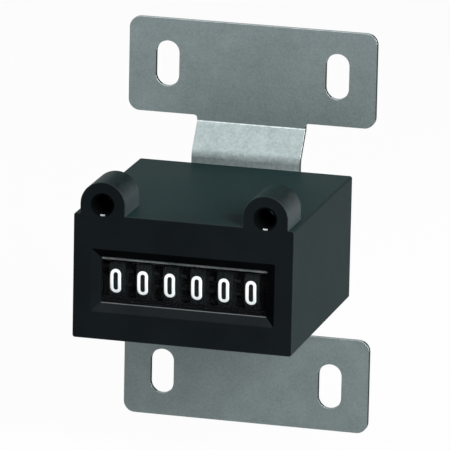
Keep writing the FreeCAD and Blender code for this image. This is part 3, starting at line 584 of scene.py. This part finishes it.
class Finish(Enum):
    """Every finish on the counter."""

    BRACKET = Plating(
        "zinc_plated_bracket", (0.132, 0.165, 0.167), (0.2, 0.244, 0.247), 0.31, 0.45, metal=0.55
    )
    # Painted highlight: lighter zinc for the rounded rims that face up and for the bend lines.
    ZINC_RIM_HIGHLIGHT = Plating(
        "zinc_rim_painted_highlight", (0.2, 0.24, 0.242), (0.62, 0.68, 0.685), 0.3, 0.42, 0.5, 3.0, metal=0.5
    )
    # Painted highlight: lighter zinc for the upward-sloping fronts of the necks.
    NECK_HIGHLIGHT = Plating(
        "zinc_neck_painted_highlight", (0.15, 0.185, 0.187), (0.27, 0.315, 0.318), 0.3, 0.42, 0.5, 2.5, metal=0.4
    )
    # Painted shade: near black for the cut faces and for the rims that do not face up.
    EDGE_SHADE = Plating(
        "sheet_edge_painted_shade", (0.008, 0.01, 0.01), (0.028, 0.033, 0.034), 0.6, 0.7, 0.2, metal=0.05
    )
    CASE = Moulding(
        "black_case_plastic", (0.0036, 0.0048, 0.0056), (0.0056, 0.0072, 0.0082),
        0.44, 0.6, 0.018, haze=0.027
    )
    # Painted highlight: lighter, glossier plastic on the case's rounded edges.
    CASE_EDGE_HIGHLIGHT = Moulding(
        "case_edge_painted_highlight", (0.0062, 0.008, 0.009), (0.0105, 0.013, 0.0145), 0.35, 0.5, 0.08, haze=0.06
    )
    # Painted light: darker towards the bosses' crowns and lighter down their flanks.
    BOSS_PAINTED_LIGHT = Moulding(
        "boss_painted_light", (0.001, 0.0014, 0.0016), (0.0265, 0.032, 0.0345), 0.36, 0.5, 0.018,
        tone=1.2, haze=0.022, fade=(18.8, 16.0)
    )
    # Painted highlight: lighter plastic on the lower side of the window bevel, which faces up.
    SILL_HIGHLIGHT = Moulding(
        "window_sill_painted_highlight", (0.0045, 0.0058, 0.0066), (0.0078, 0.0098, 0.011), 0.4, 0.55, 0.03, haze=0.03
    )
    # Painted shade: near black for the bores and for the upper and right sides of the window bevel.
    PAINTED_SHADE = Moulding("painted_shade_black", (0.0012, 0.0015, 0.0017), (0.0024, 0.003, 0.0033), 0.6, 0.8, 0.0)
    # Painted highlight: a light, glossy line on the window's inner lips.
    LIP_HIGHLIGHT = Moulding("window_lip_painted_highlight", (0.02, 0.025, 0.027), (0.05, 0.06, 0.062), 0.14, 0.24, 0.6)
    # Painted glint: a light grey mark at the bottom of each bore's mouth.
    MOUTH_GLINT = Moulding("bore_mouth_painted_glint", (0.16, 0.18, 0.185), (0.34, 0.36, 0.365), 0.3, 0.45, 0.4)
    COVER = Moulding(
        "black_cover_plastic", (0.005, 0.0065, 0.0075), (0.009, 0.0115, 0.0125), 0.5, 0.66, 0.04
    )
    LENS = ClearPane("clear_window", (0.97, 0.98, 0.98), 1.12)
    # Painted highlight: a light line along the pane's upper edge.
    LENS_EDGE_HIGHLIGHT = Moulding(
        "lens_edge_painted_highlight", (0.012, 0.016, 0.017), (0.16, 0.19, 0.19), 0.2, 0.35, 0.5, tone=2.5
    )
    MASK = Moulding("matt_black_mask", (0.002, 0.0023, 0.0025), (0.0035, 0.004, 0.0045), 0.7, 0.85, 0.02)
    WHEEL = Moulding(
        "black_wheel_plastic", (0.0045, 0.0063, 0.0068), (0.009, 0.0115, 0.012), 0.38, 0.5,
        0.05, 0.08, 0.002
    )
    FIGURE = Moulding(
        "white_figure_print", (0.90, 0.91, 0.92), (0.95, 0.96, 0.97), 0.42, 0.55, 0.2, 0.06, 0.001
    )
    ACETAL = Moulding("white_acetal", (0.70, 0.69, 0.63), (0.80, 0.79, 0.73), 0.32, 0.42, 0.45, 0.10, 0.002)
    RUBBER = Moulding(
        "black_rubber", (0.012, 0.012, 0.012), (0.03, 0.03, 0.03), 0.6, 0.8, 0.25, 0.15, 0.008
    )
    SCREW = Plating("zinc_plated_screw", (0.50, 0.52, 0.54), (0.72, 0.74, 0.75), 0.22, 0.4, 0.2)
    FRAME = Plating("zinc_plated_sheet", (0.42, 0.44, 0.45), (0.62, 0.64, 0.65), 0.3, 0.48, 0.3)
    SHAFT = Plating(
        "ground_steel", (0.50, 0.50, 0.50), (0.68, 0.68, 0.68), 0.15, 0.28, 0.1, 2.0, 0.001, (1, 0.05, 0.05)
    )
    DARK_BRASS = Plating("blackened_brass", (0.028, 0.026, 0.024), (0.06, 0.055, 0.046), 0.3, 0.45, 0.1)
    IRON = Plating("nickel_plated_iron", (0.45, 0.44, 0.42), (0.62, 0.61, 0.58), 0.28, 0.42, 0.25)
    SPRING = Plating("spring_wire", (0.42, 0.42, 0.43), (0.60, 0.60, 0.61), 0.2, 0.35, 0.1, 1.0, 0.001)
    TINNED = Plating("tinned_pin", (0.66, 0.66, 0.64), (0.82, 0.82, 0.80), 0.25, 0.4, 0.15)
    WINDING = Winding("enamelled_copper", (0.12, 0.03, 0.01), (0.62, 0.23, 0.09), 0.15)

    def get(self) -> bpy.types.Material:
        """Give the material, built once."""
        known = bpy.data.materials.get(self.value.name)
        return known if known else self.value.make()


# Sub-assemblies


@dataclass
class Bracket:
    """The folded steel mounting bracket and the two screws behind it.

    Sizes are in millimetres, turns in degrees, tilts and rises in parts of a face's normal.
    """

    kinds: Kinds = (Finish.BRACKET, Finish.EDGE_SHADE, Finish.ZINC_RIM_HIGHLIGHT, Finish.NECK_HIGHLIGHT)
    edge: float = 0.15
    edge_steps: int = 3
    edge_turn: float = 40.0
    cut_tilt: float = 0.12
    cut_rise: float = 0.9
    rim_rise: float = 0.3
    bend_level: float = 19.5
    bend_rise: Pair = (0.1, 0.66)
    neck_levels: Pair = (12.7, 20.7)
    neck_tilt: float = -0.1
    head_radius: float = 2.8
    head_height: float = 1.8
    head_sides: int = 48
    dome: float = 0.55
    dome_steps: int = 5
    dome_turn: float = 60.0
    seat_share: float = 0.4
    seat_inner: float = 0.5
    recess_reach: float = 1.55
    recess_width: float = 0.62
    recess_depth: float = 1.1
    recess_turn: float = 20.0
    bar_low: float = 0.45
    bar_top: float = 1.1
    bar_length: float = 1.4
    bar_slim: float = 1.55
    bar_sink: float = 0.3
    shank_radius: float = 1.5
    shank_sides: int = 32
    thread_rings: int = 18
    thread_root: float = 0.86
    smooth_turn: float = 35.0

    def build(self) -> None:
        """Make the bracket and its screws."""
        self.plate()
        low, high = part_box("bracket_screws")
        middle = (low + high) / 2
        reach = (high.x - low.x) / 2 - self.head_radius * MM
        pair = Bench.join([self.screw(side, reach, low.y, high.y, middle.z) for side in Side])
        pair.name = "cross_head_screws"
        Bench.dress(pair, (Finish.SCREW,), "housing", "screw_zinc", "bracket_screws")

    def plate(self) -> None:
        """Make the folded plate, with painted shade on its cut faces and on the rims that do not face up,
        and painted highlights on the other rims, the necks and the bend lines.
        """
        plate = Bench.copy_of("mounting_bracket", "bracket_plate")
        Bench.fill_slots(plate, self.kinds)
        # Every rounded edge first takes the painted highlight; the rims that do not face up take painted
        # shade below.
        rim = self.kinds.index(Finish.ZINC_RIM_HIGHLIGHT)
        Bench.ease_edges(plate, self.edge, self.edge_steps, self.edge_turn, rim)
        start, end = self.neck_levels
        gentle, steep = self.bend_rise
        Bench.split(plate, [mm(0, 0, level) for level in (-start, start)], (0, 0, 1))

        def in_edge_shade(face: Face) -> bool:
            """Tell whether a face is cut, or part of a rim that does not face up: these take painted shade.
            """
            thickness = abs(face.normal.y) < self.cut_tilt and face.normal.z < self.cut_rise
            return thickness or (face.material_index == rim and face.normal.z < self.rim_rise)

        def on_bend(face: Face) -> bool:
            """Tell whether a face lies in the tight bend beside a flange, which takes a painted highlight
            line.
            """
            beyond = abs(face.center.z / MM) > self.bend_level
            return beyond and face.normal.y < 0 and gentle < abs(face.normal.z) < steep

        def on_neck(face: Face) -> bool:
            """Tell whether a face lies on the front of a neck, which takes a painted highlight."""
            between = start < abs(face.center.z / MM) < end
            return between and face.normal.y < self.neck_tilt and face.material_index == 0

        rules = ((Finish.NECK_HIGHLIGHT, on_neck), (Finish.EDGE_SHADE, in_edge_shade), (Finish.ZINC_RIM_HIGHLIGHT, on_bend))
        Bench.finish_faces(plate, *rules)
        Bench.dress(plate, self.kinds, "housing", "bracket_zinc", "mounting_bracket")

    def screw(self, side: Side, reach: float, tip: float, top: float, z: float) -> Piece:
        """Model one pan-head screw with a cross recess.

        Args:
            side: Which of the two screws.
            reach: The distance of its axis from the middle, in metres.
            tip: Where its point ends, along y.
            top: Where its head ends, along y.
            z: The height of its axis.

        Returns:
            The screw.
        """
        x = side.value * reach
        head = self.head_height * MM
        bpy.ops.mesh.primitive_cylinder_add(
            vertices=self.head_sides, radius=self.head_radius * MM, depth=head,
            location=(x, top - head / 2, z), rotation=(-math.pi / 2, 0, 0),
        )
        screw = bpy.context.object
        Bench.settle(screw)
        dome = screw.modifiers.new("Dome", "BEVEL")
        dome.width = self.dome * MM
        dome.segments = self.dome_steps
        dome.limit_method = "ANGLE"
        dome.angle_limit = math.radians(self.dome_turn)
        Bench.finish_modifiers(screw)
        self.flatten_seat(screw, top - head)
        for turn in (0, 90):
            self.cut_slot(screw, x, top, z, math.radians(turn + self.recess_turn * side.value))
        self.add_shank(screw, x, tip, top - head, z)
        bpy.ops.object.shade_smooth_by_angle(angle=math.radians(self.smooth_turn))
        return screw

    def flatten_seat(self, screw: Piece, seat: float) -> None:
        """Pull the rounding under the head back out to a flat seat.

        Args:
            screw: The screw's head.
            seat: Where the head rests, along y.
        """
        radius = self.head_radius * MM
        points = screw.data.vertices
        centre_x = sum(point.co.x for point in points) / len(points)
        centre_z = sum(point.co.z for point in points) / len(points)
        for point in points:
            if point.co.y < seat + self.head_height * MM * self.seat_share:
                away = Vector((point.co.x - centre_x, 0, point.co.z - centre_z))
                if away.length > radius * self.seat_inner:
                    away = away.normalized() * radius
                    point.co.x = centre_x + away.x
                    point.co.z = centre_z + away.z

    def cut_slot(self, screw: Piece, x: float, top: float, z: float, turn: float) -> None:
        """Cut one tapered bar of the cross recess.

        Args:
            screw: The screw's head.
            x: The head's middle, along x.
            top: The head's end, along y.
            z: The head's middle, along z.
            turn: How far the bar is turned, in radians.
        """
        bpy.ops.mesh.primitive_cone_add(
            vertices=4, rotation=(0, 0, math.pi / 4),
            radius1=self.recess_reach * self.bar_low * MM,
            radius2=self.recess_reach * self.bar_top * MM,
            depth=self.recess_depth * self.bar_length * MM,
        )
        bar = bpy.context.object
        Bench.settle(bar)
        bar.scale = (1.0, self.recess_width / self.recess_reach / self.bar_slim, 1.0)
        Bench.settle(bar)
        bar.rotation_euler = (0, 0, turn)
        Bench.settle(bar)
        bar.rotation_euler = (-math.pi / 2, 0, 0)
        bar.location = (x, top - self.recess_depth * self.bar_sink * MM, z)
        Bench.settle(bar)
        cut = screw.modifiers.new("Recess", "BOOLEAN")
        cut.operation = "DIFFERENCE"
        cut.object = bar
        cut.solver = "EXACT"
        Bench.finish_modifiers(screw)
        bpy.data.objects.remove(bar)

    def add_shank(self, screw: Piece, x: float, tip: float, seat: float, z: float) -> None:
        """Join the shank, with its rounded thread crests, to the head.

        Args:
            screw: The screw's head.
            x: The screw's axis, along x.
            tip: Where the shank ends.
            seat: Where the head rests.
            z: The screw's axis, along z.
        """
        bpy.ops.mesh.primitive_cylinder_add(
            vertices=self.shank_sides, radius=self.shank_radius * MM, depth=seat - tip,
            location=(x, (seat + tip) / 2, z), rotation=(-math.pi / 2, 0, 0),
        )
        shank = bpy.context.object
        Bench.settle(shank)
        rings = self.thread_rings
        levels = [tip + (seat - tip) * number / rings for number in range(1, rings)]
        Bench.split(shank, [Vector((x, level, z)) for level in levels], (0, 1, 0))
        step = (seat - tip) / rings
        for point in shank.data.vertices:
            number = round((point.co.y - tip) / step)
            if number % 2 and abs(point.co.y - tip - number * step) < step / 4:
                point.co.x = x + (point.co.x - x) * self.thread_root
                point.co.z = z + (point.co.z - z) * self.thread_root
        Bench.join([screw, shank])


@dataclass
class CaseFaces:
    """Tells where a face of the case lies, so that it takes the finish of that place.

    Lengths and places are in millimetres, and tilts are parts of a face's normal.
    """

    axis_level: float
    front: float
    boss_reach: float
    boss_radius: float
    boss_rise: float = 1.95
    boss_skin: float = 0.05
    wall_tilt: float = 0.3
    bore: float = 1.85
    bore_skin: float = 0.02
    mouth_depth: float = 0.6
    mouth_width: float = 0.5
    mouth_tilt: float = -0.99
    mark_depth: float = 0.3
    mark_band: Pair = (0.04, 0.34)
    mark_reach: float = 0.5
    bevel_depth: float = 1.1
    bevel_tilt: float = -0.995
    bevel_reach: float = 18.6
    bevel_rise: float = 6.6
    side_tilt: float = 0.3
    lip_depths: Pair = (0.75, 1.45)
    lip_reach: float = 16.4
    lip_band: float = 0.22

    def from_bore(self, face: Face) -> Pair:
        """Give how far across and up a face stands from the nearer bore's axis."""
        return abs(face.center.x / MM) - self.boss_reach, face.center.z / MM - self.axis_level

    def before(self, face: Face, depth: float) -> bool:
        """Tell whether a face lies less than a depth behind the front."""
        return face.center.y / MM < self.front + depth

    def runs_back(self, face: Face) -> bool:
        """Tell whether a face runs straight back from the front, as a bore's wall does."""
        return abs(face.normal.y) < self.wall_tilt

    def in_bore(self, face: Face) -> bool:
        """Tell whether a face lies on the wall of a boss's bore, which takes painted shade."""
        return math.hypot(*self.from_bore(face)) < self.bore + self.bore_skin and self.runs_back(face)

    def in_mouth(self, face: Face) -> bool:
        """Tell whether a face lies on the lead-in of a bore, which takes painted shade."""
        inside = math.hypot(*self.from_bore(face)) < self.bore + self.mouth_width
        return inside and self.before(face, self.mouth_depth) and face.normal.y > self.mouth_tilt

    def on_boss(self, face: Face) -> bool:
        """Tell whether a face lies on the outside of a boss, which takes painted light: darker towards its
        crown, lighter down its flanks.

        Args:
            face: A face of the case.

        Returns:
            Whether it lies there.
        """
        across, up = self.from_bore(face)
        outside = abs(math.hypot(across, max(up, 0)) - self.boss_radius) < self.boss_skin
        return outside and up > -self.boss_rise and self.runs_back(face)

    def on_mouth_glint(self, face: Face) -> bool:
        """Tell whether a face lies at the bottom of a bore's mouth, which takes a painted glint.

        Args:
            face: A face of the case.

        Returns:
            Whether it lies there.
        """
        across, up = self.from_bore(face)
        low, high = self.mark_band
        band = self.bore + low < math.hypot(across, up) < self.bore + high
        return band and self.before(face, self.mark_depth) and up < 0 and abs(across) < self.mark_reach

    def round_window(self, face: Face) -> bool:
        """Tell whether a face lies on the bevel round the window, which keeps the plain case finish without
        the painted edge highlight.

        Args:
            face: A face of the case.

        Returns:
            Whether it lies there.
        """
        level = abs(face.center.z / MM - WINDOW_LEVEL)
        near = self.before(face, self.bevel_depth) and face.normal.y > self.bevel_tilt
        return near and abs(face.center.x / MM) < self.bevel_reach and level < self.bevel_rise

    def in_shade(self, face: Face) -> bool:
        """Tell whether a face lies on the upper or right side of that bevel, which takes painted shade."""
        return self.round_window(face) and min(face.normal.z, face.normal.x) < -self.side_tilt

    def on_sill(self, face: Face) -> bool:
        """Tell whether a face lies on the lower side of that bevel, which faces up and takes a painted
        highlight.
        """
        return self.round_window(face) and face.normal.z > self.side_tilt

    def on_lip(self, face: Face) -> bool:
        """Tell whether a face lies on the window's upper or lower inner lip, which takes a painted
        highlight.

        Args:
            face: A face of the case.

        Returns:
            Whether it lies there.
        """
        level = abs(face.center.z / MM - WINDOW_LEVEL)
        start, end = self.lip_depths
        deep = self.front + start < face.center.y / MM < self.front + end
        beside = abs(face.center.x / MM) < self.lip_reach
        return deep and beside and abs(level - WINDOW_RISE) < self.lip_band


@dataclass
class Housing:
    """The black case, its window, the rear cover and the rubber grommet. Sizes are in millimetres."""

    boss_reach: float = 16.25
    boss_radius: float = 4.5
    line: float = 0.42
    case_edge: float = 0.16
    case_turn: float = 28.0
    cover_edge: float = 0.12
    pane_edge: float = 0.08
    rubber_edge: float = 0.3
    rubber_steps: int = 3
    rubber_turn: float = 50.0

    def build(self) -> None:
        """Make the outer pieces."""
        self.case()
        cover = Bench.copy_of("rear_cover", "back_cover")
        Bench.ease_edges(cover, self.cover_edge)
        Bench.dress(cover, (Finish.COVER,), "housing", "cover_black", "rear_cover")
        self.pane()
        rubber = Bench.copy_of("lead_grommet", "rubber_grommet")
        Bench.ease_edges(rubber, self.rubber_edge, self.rubber_steps, self.rubber_turn)
        Bench.dress(rubber, (Finish.RUBBER,), "housing", "grommet_rubber", "lead_grommet")
        Bench.repaint("figure_mask", Finish.MASK)

    def pane(self) -> None:
        """Make the clear pane, with a painted highlight line along its upper edge."""
        pane = Bench.copy_of("window_lens", "window_pane")
        kinds = (Finish.LENS, Finish.LENS_EDGE_HIGHLIGHT)
        Bench.fill_slots(pane, kinds)
        Bench.ease_edges(pane, self.pane_edge)
        start = WINDOW_LEVEL + WINDOW_RISE - self.line
        Bench.split(pane, [mm(0, 0, start)], (0, 0, 1))

        def on_line(face: Face) -> bool:
            """Tell whether a face lies on the pane's upper edge, which takes the painted highlight line."""
            return face.center.z / MM > start

        Bench.finish_faces(pane, (Finish.LENS_EDGE_HIGHLIGHT, on_line))
        Bench.dress(pane, kinds, "housing", "lens_clear", "window_lens")

    def case(self) -> None:
        """Make the case, with a finish for each place that the photo shows darker or lighter: painted shade
        where it is darker, painted highlights and a painted glint where it is lighter.
        """
        case = Bench.copy_of("case_shell", "counter_case")
        kinds = (
            Finish.CASE, Finish.CASE_EDGE_HIGHLIGHT, Finish.PAINTED_SHADE, Finish.LIP_HIGHLIGHT, Finish.MOUTH_GLINT, Finish.SILL_HIGHLIGHT, Finish.BOSS_PAINTED_LIGHT
        )
        Bench.fill_slots(case, kinds)
        # Every rounded edge of the case takes a painted highlight.
        Bench.ease_edges(case, self.case_edge, angle=self.case_turn, slot=kinds.index(Finish.CASE_EDGE_HIGHLIGHT))
        low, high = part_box("case_shell")
        axis_level = high.z / MM - self.boss_radius
        spots = CaseFaces(axis_level, low.y / MM, self.boss_reach, self.boss_radius)
        # The bosses take painted light; the bevel's upper and right sides and the bores take painted shade;
        # the bevel's lower side and the lips take painted highlights; the bore mouths take a painted glint.
        Bench.finish_faces(
            case,
            (Finish.BOSS_PAINTED_LIGHT, spots.on_boss),
            (Finish.CASE, spots.round_window),
            (Finish.PAINTED_SHADE, spots.in_shade),
            (Finish.SILL_HIGHLIGHT, spots.on_sill),
            (Finish.PAINTED_SHADE, spots.in_bore),
            (Finish.PAINTED_SHADE, spots.in_mouth),
            (Finish.LIP_HIGHLIGHT, spots.on_lip),
            (Finish.MOUTH_GLINT, spots.on_mouth_glint),
        )
        Bench.dress(case, kinds, "housing", "case_black", "case_shell")


@dataclass
class Figures:
    """The white figures 0 to 9, drawn with one pen width and laid round a wheel's rim.

    Sizes are in millimetres, and lead is an angle in radians.
    """

    width: float = 2.17
    height: float = 4.9
    pen: float = 0.64
    aside: float = -0.2
    relief: float = 0.03
    lift: float = 0.008
    curve_steps: int = 12
    pace: float = 0.35
    lead: float = -0.057

    def __post_init__(self) -> None:
        """Work out the middle of the pen's path."""
        self.half_width = (self.width - self.pen) / 2
        self.half_height = (self.height - self.pen) / 2

    def arc(self, x: float, z: float, across: float, up: float, start: float, end: float) -> Stroke:
        """Give the points of an arc of an ellipse.

        Args:
            x: Its centre, across.
            z: Its centre, up.
            across: Its radius, across.
            up: Its radius, up.
            start: Its first angle, in degrees from the right.
            end: Its last angle.

        Returns:
            The points, in millimetres.
        """
        steps = max(3, round(abs(end - start) / 180 * self.curve_steps))
        points = []
        for step in range(steps + 1):
            angle = math.radians(start + (end - start) * step / steps)
            points.append((x + across * math.cos(angle), z + up * math.sin(angle)))
        return points

    def strokes(self, figure: int) -> list[tuple[Stroke, bool]]:
        """Give the pen strokes of one figure, drawn in shares of its half width and half height.

        Args:
            figure: The figure, 0 to 9.

        Returns:
            Each stroke's points and whether it closes on itself.
        """
        w = self.half_width
        h = self.half_height

        def top(start: float, end: float) -> Stroke:
            """Give a part of the circle that fills the figure's upper end."""
            return self.arc(0, h - w, w, w, start, end)

        waist = (-w * 0.1, h * 0.06)
        belly = self.arc(0, w * 1.15 - h, w, w * 1.15, 130, -165)
        six = top(25, 180) + [(-w, 0)] + self.arc(0, w * 1.2 - h, w, w * 1.2, 180, -180)
        loops = (
            self.arc(0, h - w, w * 0.92, w, -90, 270),
            self.arc(0, w * 1.12 - h, w, w * 1.12, 90, 450),
        )
        shapes = {
            0: [top(0, 180) + self.arc(0, w - h, w, w, 180, 360)],
            1: [[(-w * 0.75, h * 0.72), (w * 0.1, h), (w * 0.1, -h)]],
            2: [top(170, -25) + [(-w, -h * 0.82), (-w, -h), (w * 1.05, -h)]],
            3: [top(160, -60) + [waist], [waist] + self.arc(0, w - h, w, w * 1.1, 62, -160)],
            4: [[(w * 0.35, -h), (w * 0.35, h), (-w * 1.05, -h * 0.38), (w * 1.15, -h * 0.38)]],
            5: [[(w * 0.95, h), (-w * 0.9, h), (-w * 0.95, h * 0.1)] + belly],
            6: [six],
            7: [[(-w, h), (w, h), (w, h * 0.8), (-w * 0.35, -h)]],
            8: [loop[:-1] for loop in loops],
            9: [[(-x, -z) for x, z in six]],
        }
        return [(stroke, figure in (0, 8)) for stroke in shapes[figure]]

    def paced(self, stroke: Stroke, closed: bool) -> Stroke:
        """Divide a stroke's long straight runs, so that they can bend round the rim.

        Args:
            stroke: The stroke's points.
            closed: Whether it closes on itself.

        Returns:
            The points with no two far apart.
        """
        ends = stroke[1:] + stroke[:1] if closed else stroke[1:]
        points = []
        for (x, z), (next_x, next_z) in zip(stroke, ends):
            parts = max(1, math.ceil(math.hypot(next_x - x, next_z - z) / self.pace))
            for part in range(parts):
                share = part / parts
                points.append((x + (next_x - x) * share, z + (next_z - z) * share))
        return points if closed else points + [stroke[-1]]

    def flat(self, figure: int) -> Piece:
        """Model one figure flat, facing up, as low rounded strokes.

        Args:
            figure: The figure, 0 to 9.

        Returns:
            The figure's mesh object, in millimetres.
        """
        path = bpy.data.curves.new(f"figure_{figure}", "CURVE")
        path.dimensions = "2D"
        path.fill_mode = "NONE"
        path.bevel_depth = self.pen / 2
        path.bevel_resolution = 3
        path.use_fill_caps = True
        for stroke, closed in self.strokes(figure):
            points = self.paced(stroke, closed)
            spline = path.splines.new("POLY")
            spline.points.add(len(points) - 1)
            for point, (x, z) in zip(spline.points, points):
                point.co = (x, z, 0, 1)
            spline.use_cyclic_u = closed
        Bench.hold(Bench.put(path.name, path))
        bpy.ops.object.convert(target="MESH")
        return bpy.context.object

    def ring(self, name: str, middle: Vector, radius: float) -> Piece:
        """Lay all ten figures round a rim.

        Args:
            name: The new piece's name.
            middle: The middle of the rim, on its axis.
            radius: The rim's radius, in metres.

        Returns:
            The ten figures as one piece.
        """
        pieces = []
        for figure in range(10):
            piece = self.flat(figure)
            for point in piece.data.vertices:
                out = radius + (self.lift + point.co.z * self.relief / (self.pen / 2)) * MM
                turn = self.lead + figure * FIGURE_STEP + point.co.y * MM / radius
                point.co = middle + Vector(
                    ((point.co.x + self.aside) * MM, -out * math.cos(turn), out * math.sin(turn))
                )
            pieces.append(piece)
        ring = Bench.join(pieces)
        ring.name = name
        ring.data.name = name
        Bench.hold(ring)
        bpy.ops.object.mode_set(mode="EDIT")
        bpy.ops.mesh.select_all(action="SELECT")
        bpy.ops.mesh.remove_doubles(threshold=MERGE_WITHIN)
        bpy.ops.mesh.normals_make_consistent()
        bpy.ops.object.mode_set(mode="OBJECT")
        bpy.ops.object.shade_smooth_by_angle(angle=SMOOTH_BELOW)
        return ring


@dataclass
class WheelTrain:
    """The six number wheels with their figures, and the five carry pinions."""

    rim_width: float = 3.1
    gear_reach: float = 1.3
    ratchet_reach: float = 2.0
    edge: float = 0.09
    edge_turn: float = 25.0

    def build(self) -> None:
        """Make the wheels, their figures and the pinions' finish."""
        figures = Figures()
        for name in WHEELS:
            node = f"{name}_wheel"
            low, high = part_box(node)
            beside = self.ratchet_reach if name == "units" else self.gear_reach
            x = high.x - (beside + self.rim_width / 2) * MM
            radius = (high.z - low.z) / 2
            middle = Vector((x, (low.y + high.y) / 2, (low.z + high.z) / 2))
            wheel = Bench.copy_of(node, f"{name}_number_wheel")
            Bench.ease_edges(wheel, self.edge, angle=self.edge_turn)
            Bench.dress(wheel, (Finish.WHEEL,), node, "wheel_black", node)
            ring = figures.ring(f"{name}_figures", middle, radius)
            Bench.dress(ring, (Finish.FIGURE,), node, "wheel_black")
        for name in WHEELS[1:]:
            Bench.repaint(f"{name}_pinion", Finish.ACETAL)


@dataclass
class Movement:
    """The inner frame, shafts, armature and coil, which keep their CAD shapes."""

    edge: float = 0.1
    edge_turn: float = 35.0

    def build(self) -> None:
        """Finish each inner piece."""
        frame = Bench.copy_of("movement_frame", "inner_frame")
        Bench.ease_edges(frame, self.edge, angle=self.edge_turn)
        Bench.dress(frame, (Finish.FRAME,), "housing", "frame_steel", "movement_frame")
        looks = {
            Finish.SHAFT: ("wheel_shaft", "pinion_shaft", "armature_shaft"),
            Finish.DARK_BRASS: ("left_spacer", "right_spacer"),
            Finish.IRON: ("armature_plate", "magnet_core", "magnet_yoke"),
            Finish.ACETAL: ("verge", "coil_bobbin"),
            Finish.SPRING: ("armature_spring",),
            Finish.WINDING: ("coil_winding",),
            Finish.TINNED: ("terminal_pins",),
        }
        for kind, nodes in looks.items():
            for node in nodes:
                Bench.repaint(node, kind)


# Studio


@dataclass(frozen=True)
class Lamp:
    """One soft square lamp: its place and width in metres and its power in watts."""

    name: str
    place: Triple
    width: float
    power: float

    def hang(self, target: Vector) -> None:
        """Hang the lamp.

        Args:
            target: The point that it faces.
        """
        place = Vector(self.place)
        data = bpy.data.lights.new(self.name, "AREA")
        data.size = self.width
        data.energy = self.power
        lamp = Bench.put(self.name, data)
        lamp.location = place
        lamp.rotation_mode = "QUATERNION"
        lamp.rotation_quaternion = (target - place).to_track_quat("-Z", "Y")


@dataclass
class Studio:
    """The camera at the photograph's place, soft lamps and a pale floor.

    Distances are in millimetres, but for the camera's limits and the floor's width, in metres.
    """

    azimuth: float = 14.89
    elevation: float = 14.63
    roll: float = 1.17
    distance: float = 1200.0
    shift_right: float = 4.31
    shift_up: float = 8.40
    focal_pixels: float = 6146.08
    sensor: float = 36.0
    nearest: float = 0.05
    farthest: float = 20.0
    aim: Triple = (0.0, -35.8, 0.0)
    lamps: tuple[Lamp, ...] = (
        Lamp("overhead_lamp", (-0.16, -0.40, 0.62), 0.7, 3.5),
        Lamp("key_lamp", (0.50, -0.52, 0.35), 0.35, 8.4),
        Lamp("right_lamp", (0.7, 0.12, 0.12), 0.4, 5.8),
    )
    lamp_aim: Triple = (0.0, -20.0, 0.0)
    sky_tint: Triple = (0.96, 1.0, 1.0)
    sky_light: float = 0.04
    floor_level: float = -41.2
    floor_width: float = 8.0
    floor_tint: Triple = (0.3, 0.3, 0.3)
    floor_glow: float = 1.08
    floor_share: float = 0.88

    def build(self) -> None:
        """Make the camera, the lamps, the backdrop and the floor."""
        self.camera()
        for lamp in self.lamps:
            lamp.hang(mm(*self.lamp_aim))
        self.backdrop()
        self.floor()

    def camera(self) -> None:
        """Set the camera where the photograph's straight edges put it."""
        a = math.radians(self.azimuth)
        e = math.radians(self.elevation)
        r = math.radians(self.roll)
        back = Vector((math.sin(a) * math.cos(e), -math.cos(a) * math.cos(e), math.sin(e)))
        right = Vector((math.cos(a), math.sin(a), 0))
        up = back.cross(right)
        across = right * math.cos(r) + up * math.sin(r)
        upward = up * math.cos(r) - right * math.sin(r)
        data = bpy.data.cameras.new("camera")
        data.sensor_fit = "HORIZONTAL"
        data.sensor_width = self.sensor
        data.lens = self.focal_pixels / PHOTO_SIDE * self.sensor
        data.clip_start = self.nearest
        data.clip_end = self.farthest
        camera = Bench.put("camera", data)
        away = back * self.distance + across * self.shift_right + upward * self.shift_up
        axes = Matrix((across, upward, back)).transposed().to_4x4()
        camera.matrix_world = Matrix.Translation(mm(*self.aim) + away * MM) @ axes
        bpy.context.scene.camera = camera

    def backdrop(self) -> None:
        """Make the world: white where it is seen, and a softer light for everything else."""
        board = Board("studio", lights_world=True)
        bpy.context.scene.world = board.owner
        dim = {"Color": (*self.sky_tint, 1), "Strength": self.sky_light}
        soft = board.add("ShaderNodeBackground", dim)
        white = board.add("ShaderNodeBackground", {"Color": (1, 1, 1, 1), "Strength": 1.0})
        board.mix(board.seen(), soft, white)

    def floor(self) -> None:
        """Lay the pale floor that the lower flange stands on."""
        board = Board("pale_floor")
        matt = board.add("ShaderNodeBsdfDiffuse", {"Color": (*self.floor_tint, 1)})
        white = board.add("ShaderNodeEmission", {"Color": (1, 1, 1, 1), "Strength": self.floor_glow})
        values = {0: board.seen(), 1: self.floor_share}
        share = board.add("ShaderNodeMath", values, operation="MULTIPLY")
        board.mix(share.outputs["Value"], matt, white)
        level = self.floor_level * MM
        bpy.ops.mesh.primitive_plane_add(size=self.floor_width, location=(0, 0, level))
        floor = bpy.context.object
        floor.name = "pale_floor"
        floor.data.materials.append(board.owner)


def main() -> None:
    """Load the frame, build the sub-assemblies in order and set up the studio."""
    logging.basicConfig(level=logging.INFO, format="%(name)s: %(message)s")
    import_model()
    for part in (Bracket(), Housing(), WheelTrain(), Movement(), Studio()):
        part.build()
        LOG.info("%s done", type(part).__name__)
    bpy.context.scene.view_settings.view_transform = "Standard"
    Bench.clear()


if __name__ == "__main__":
    main()
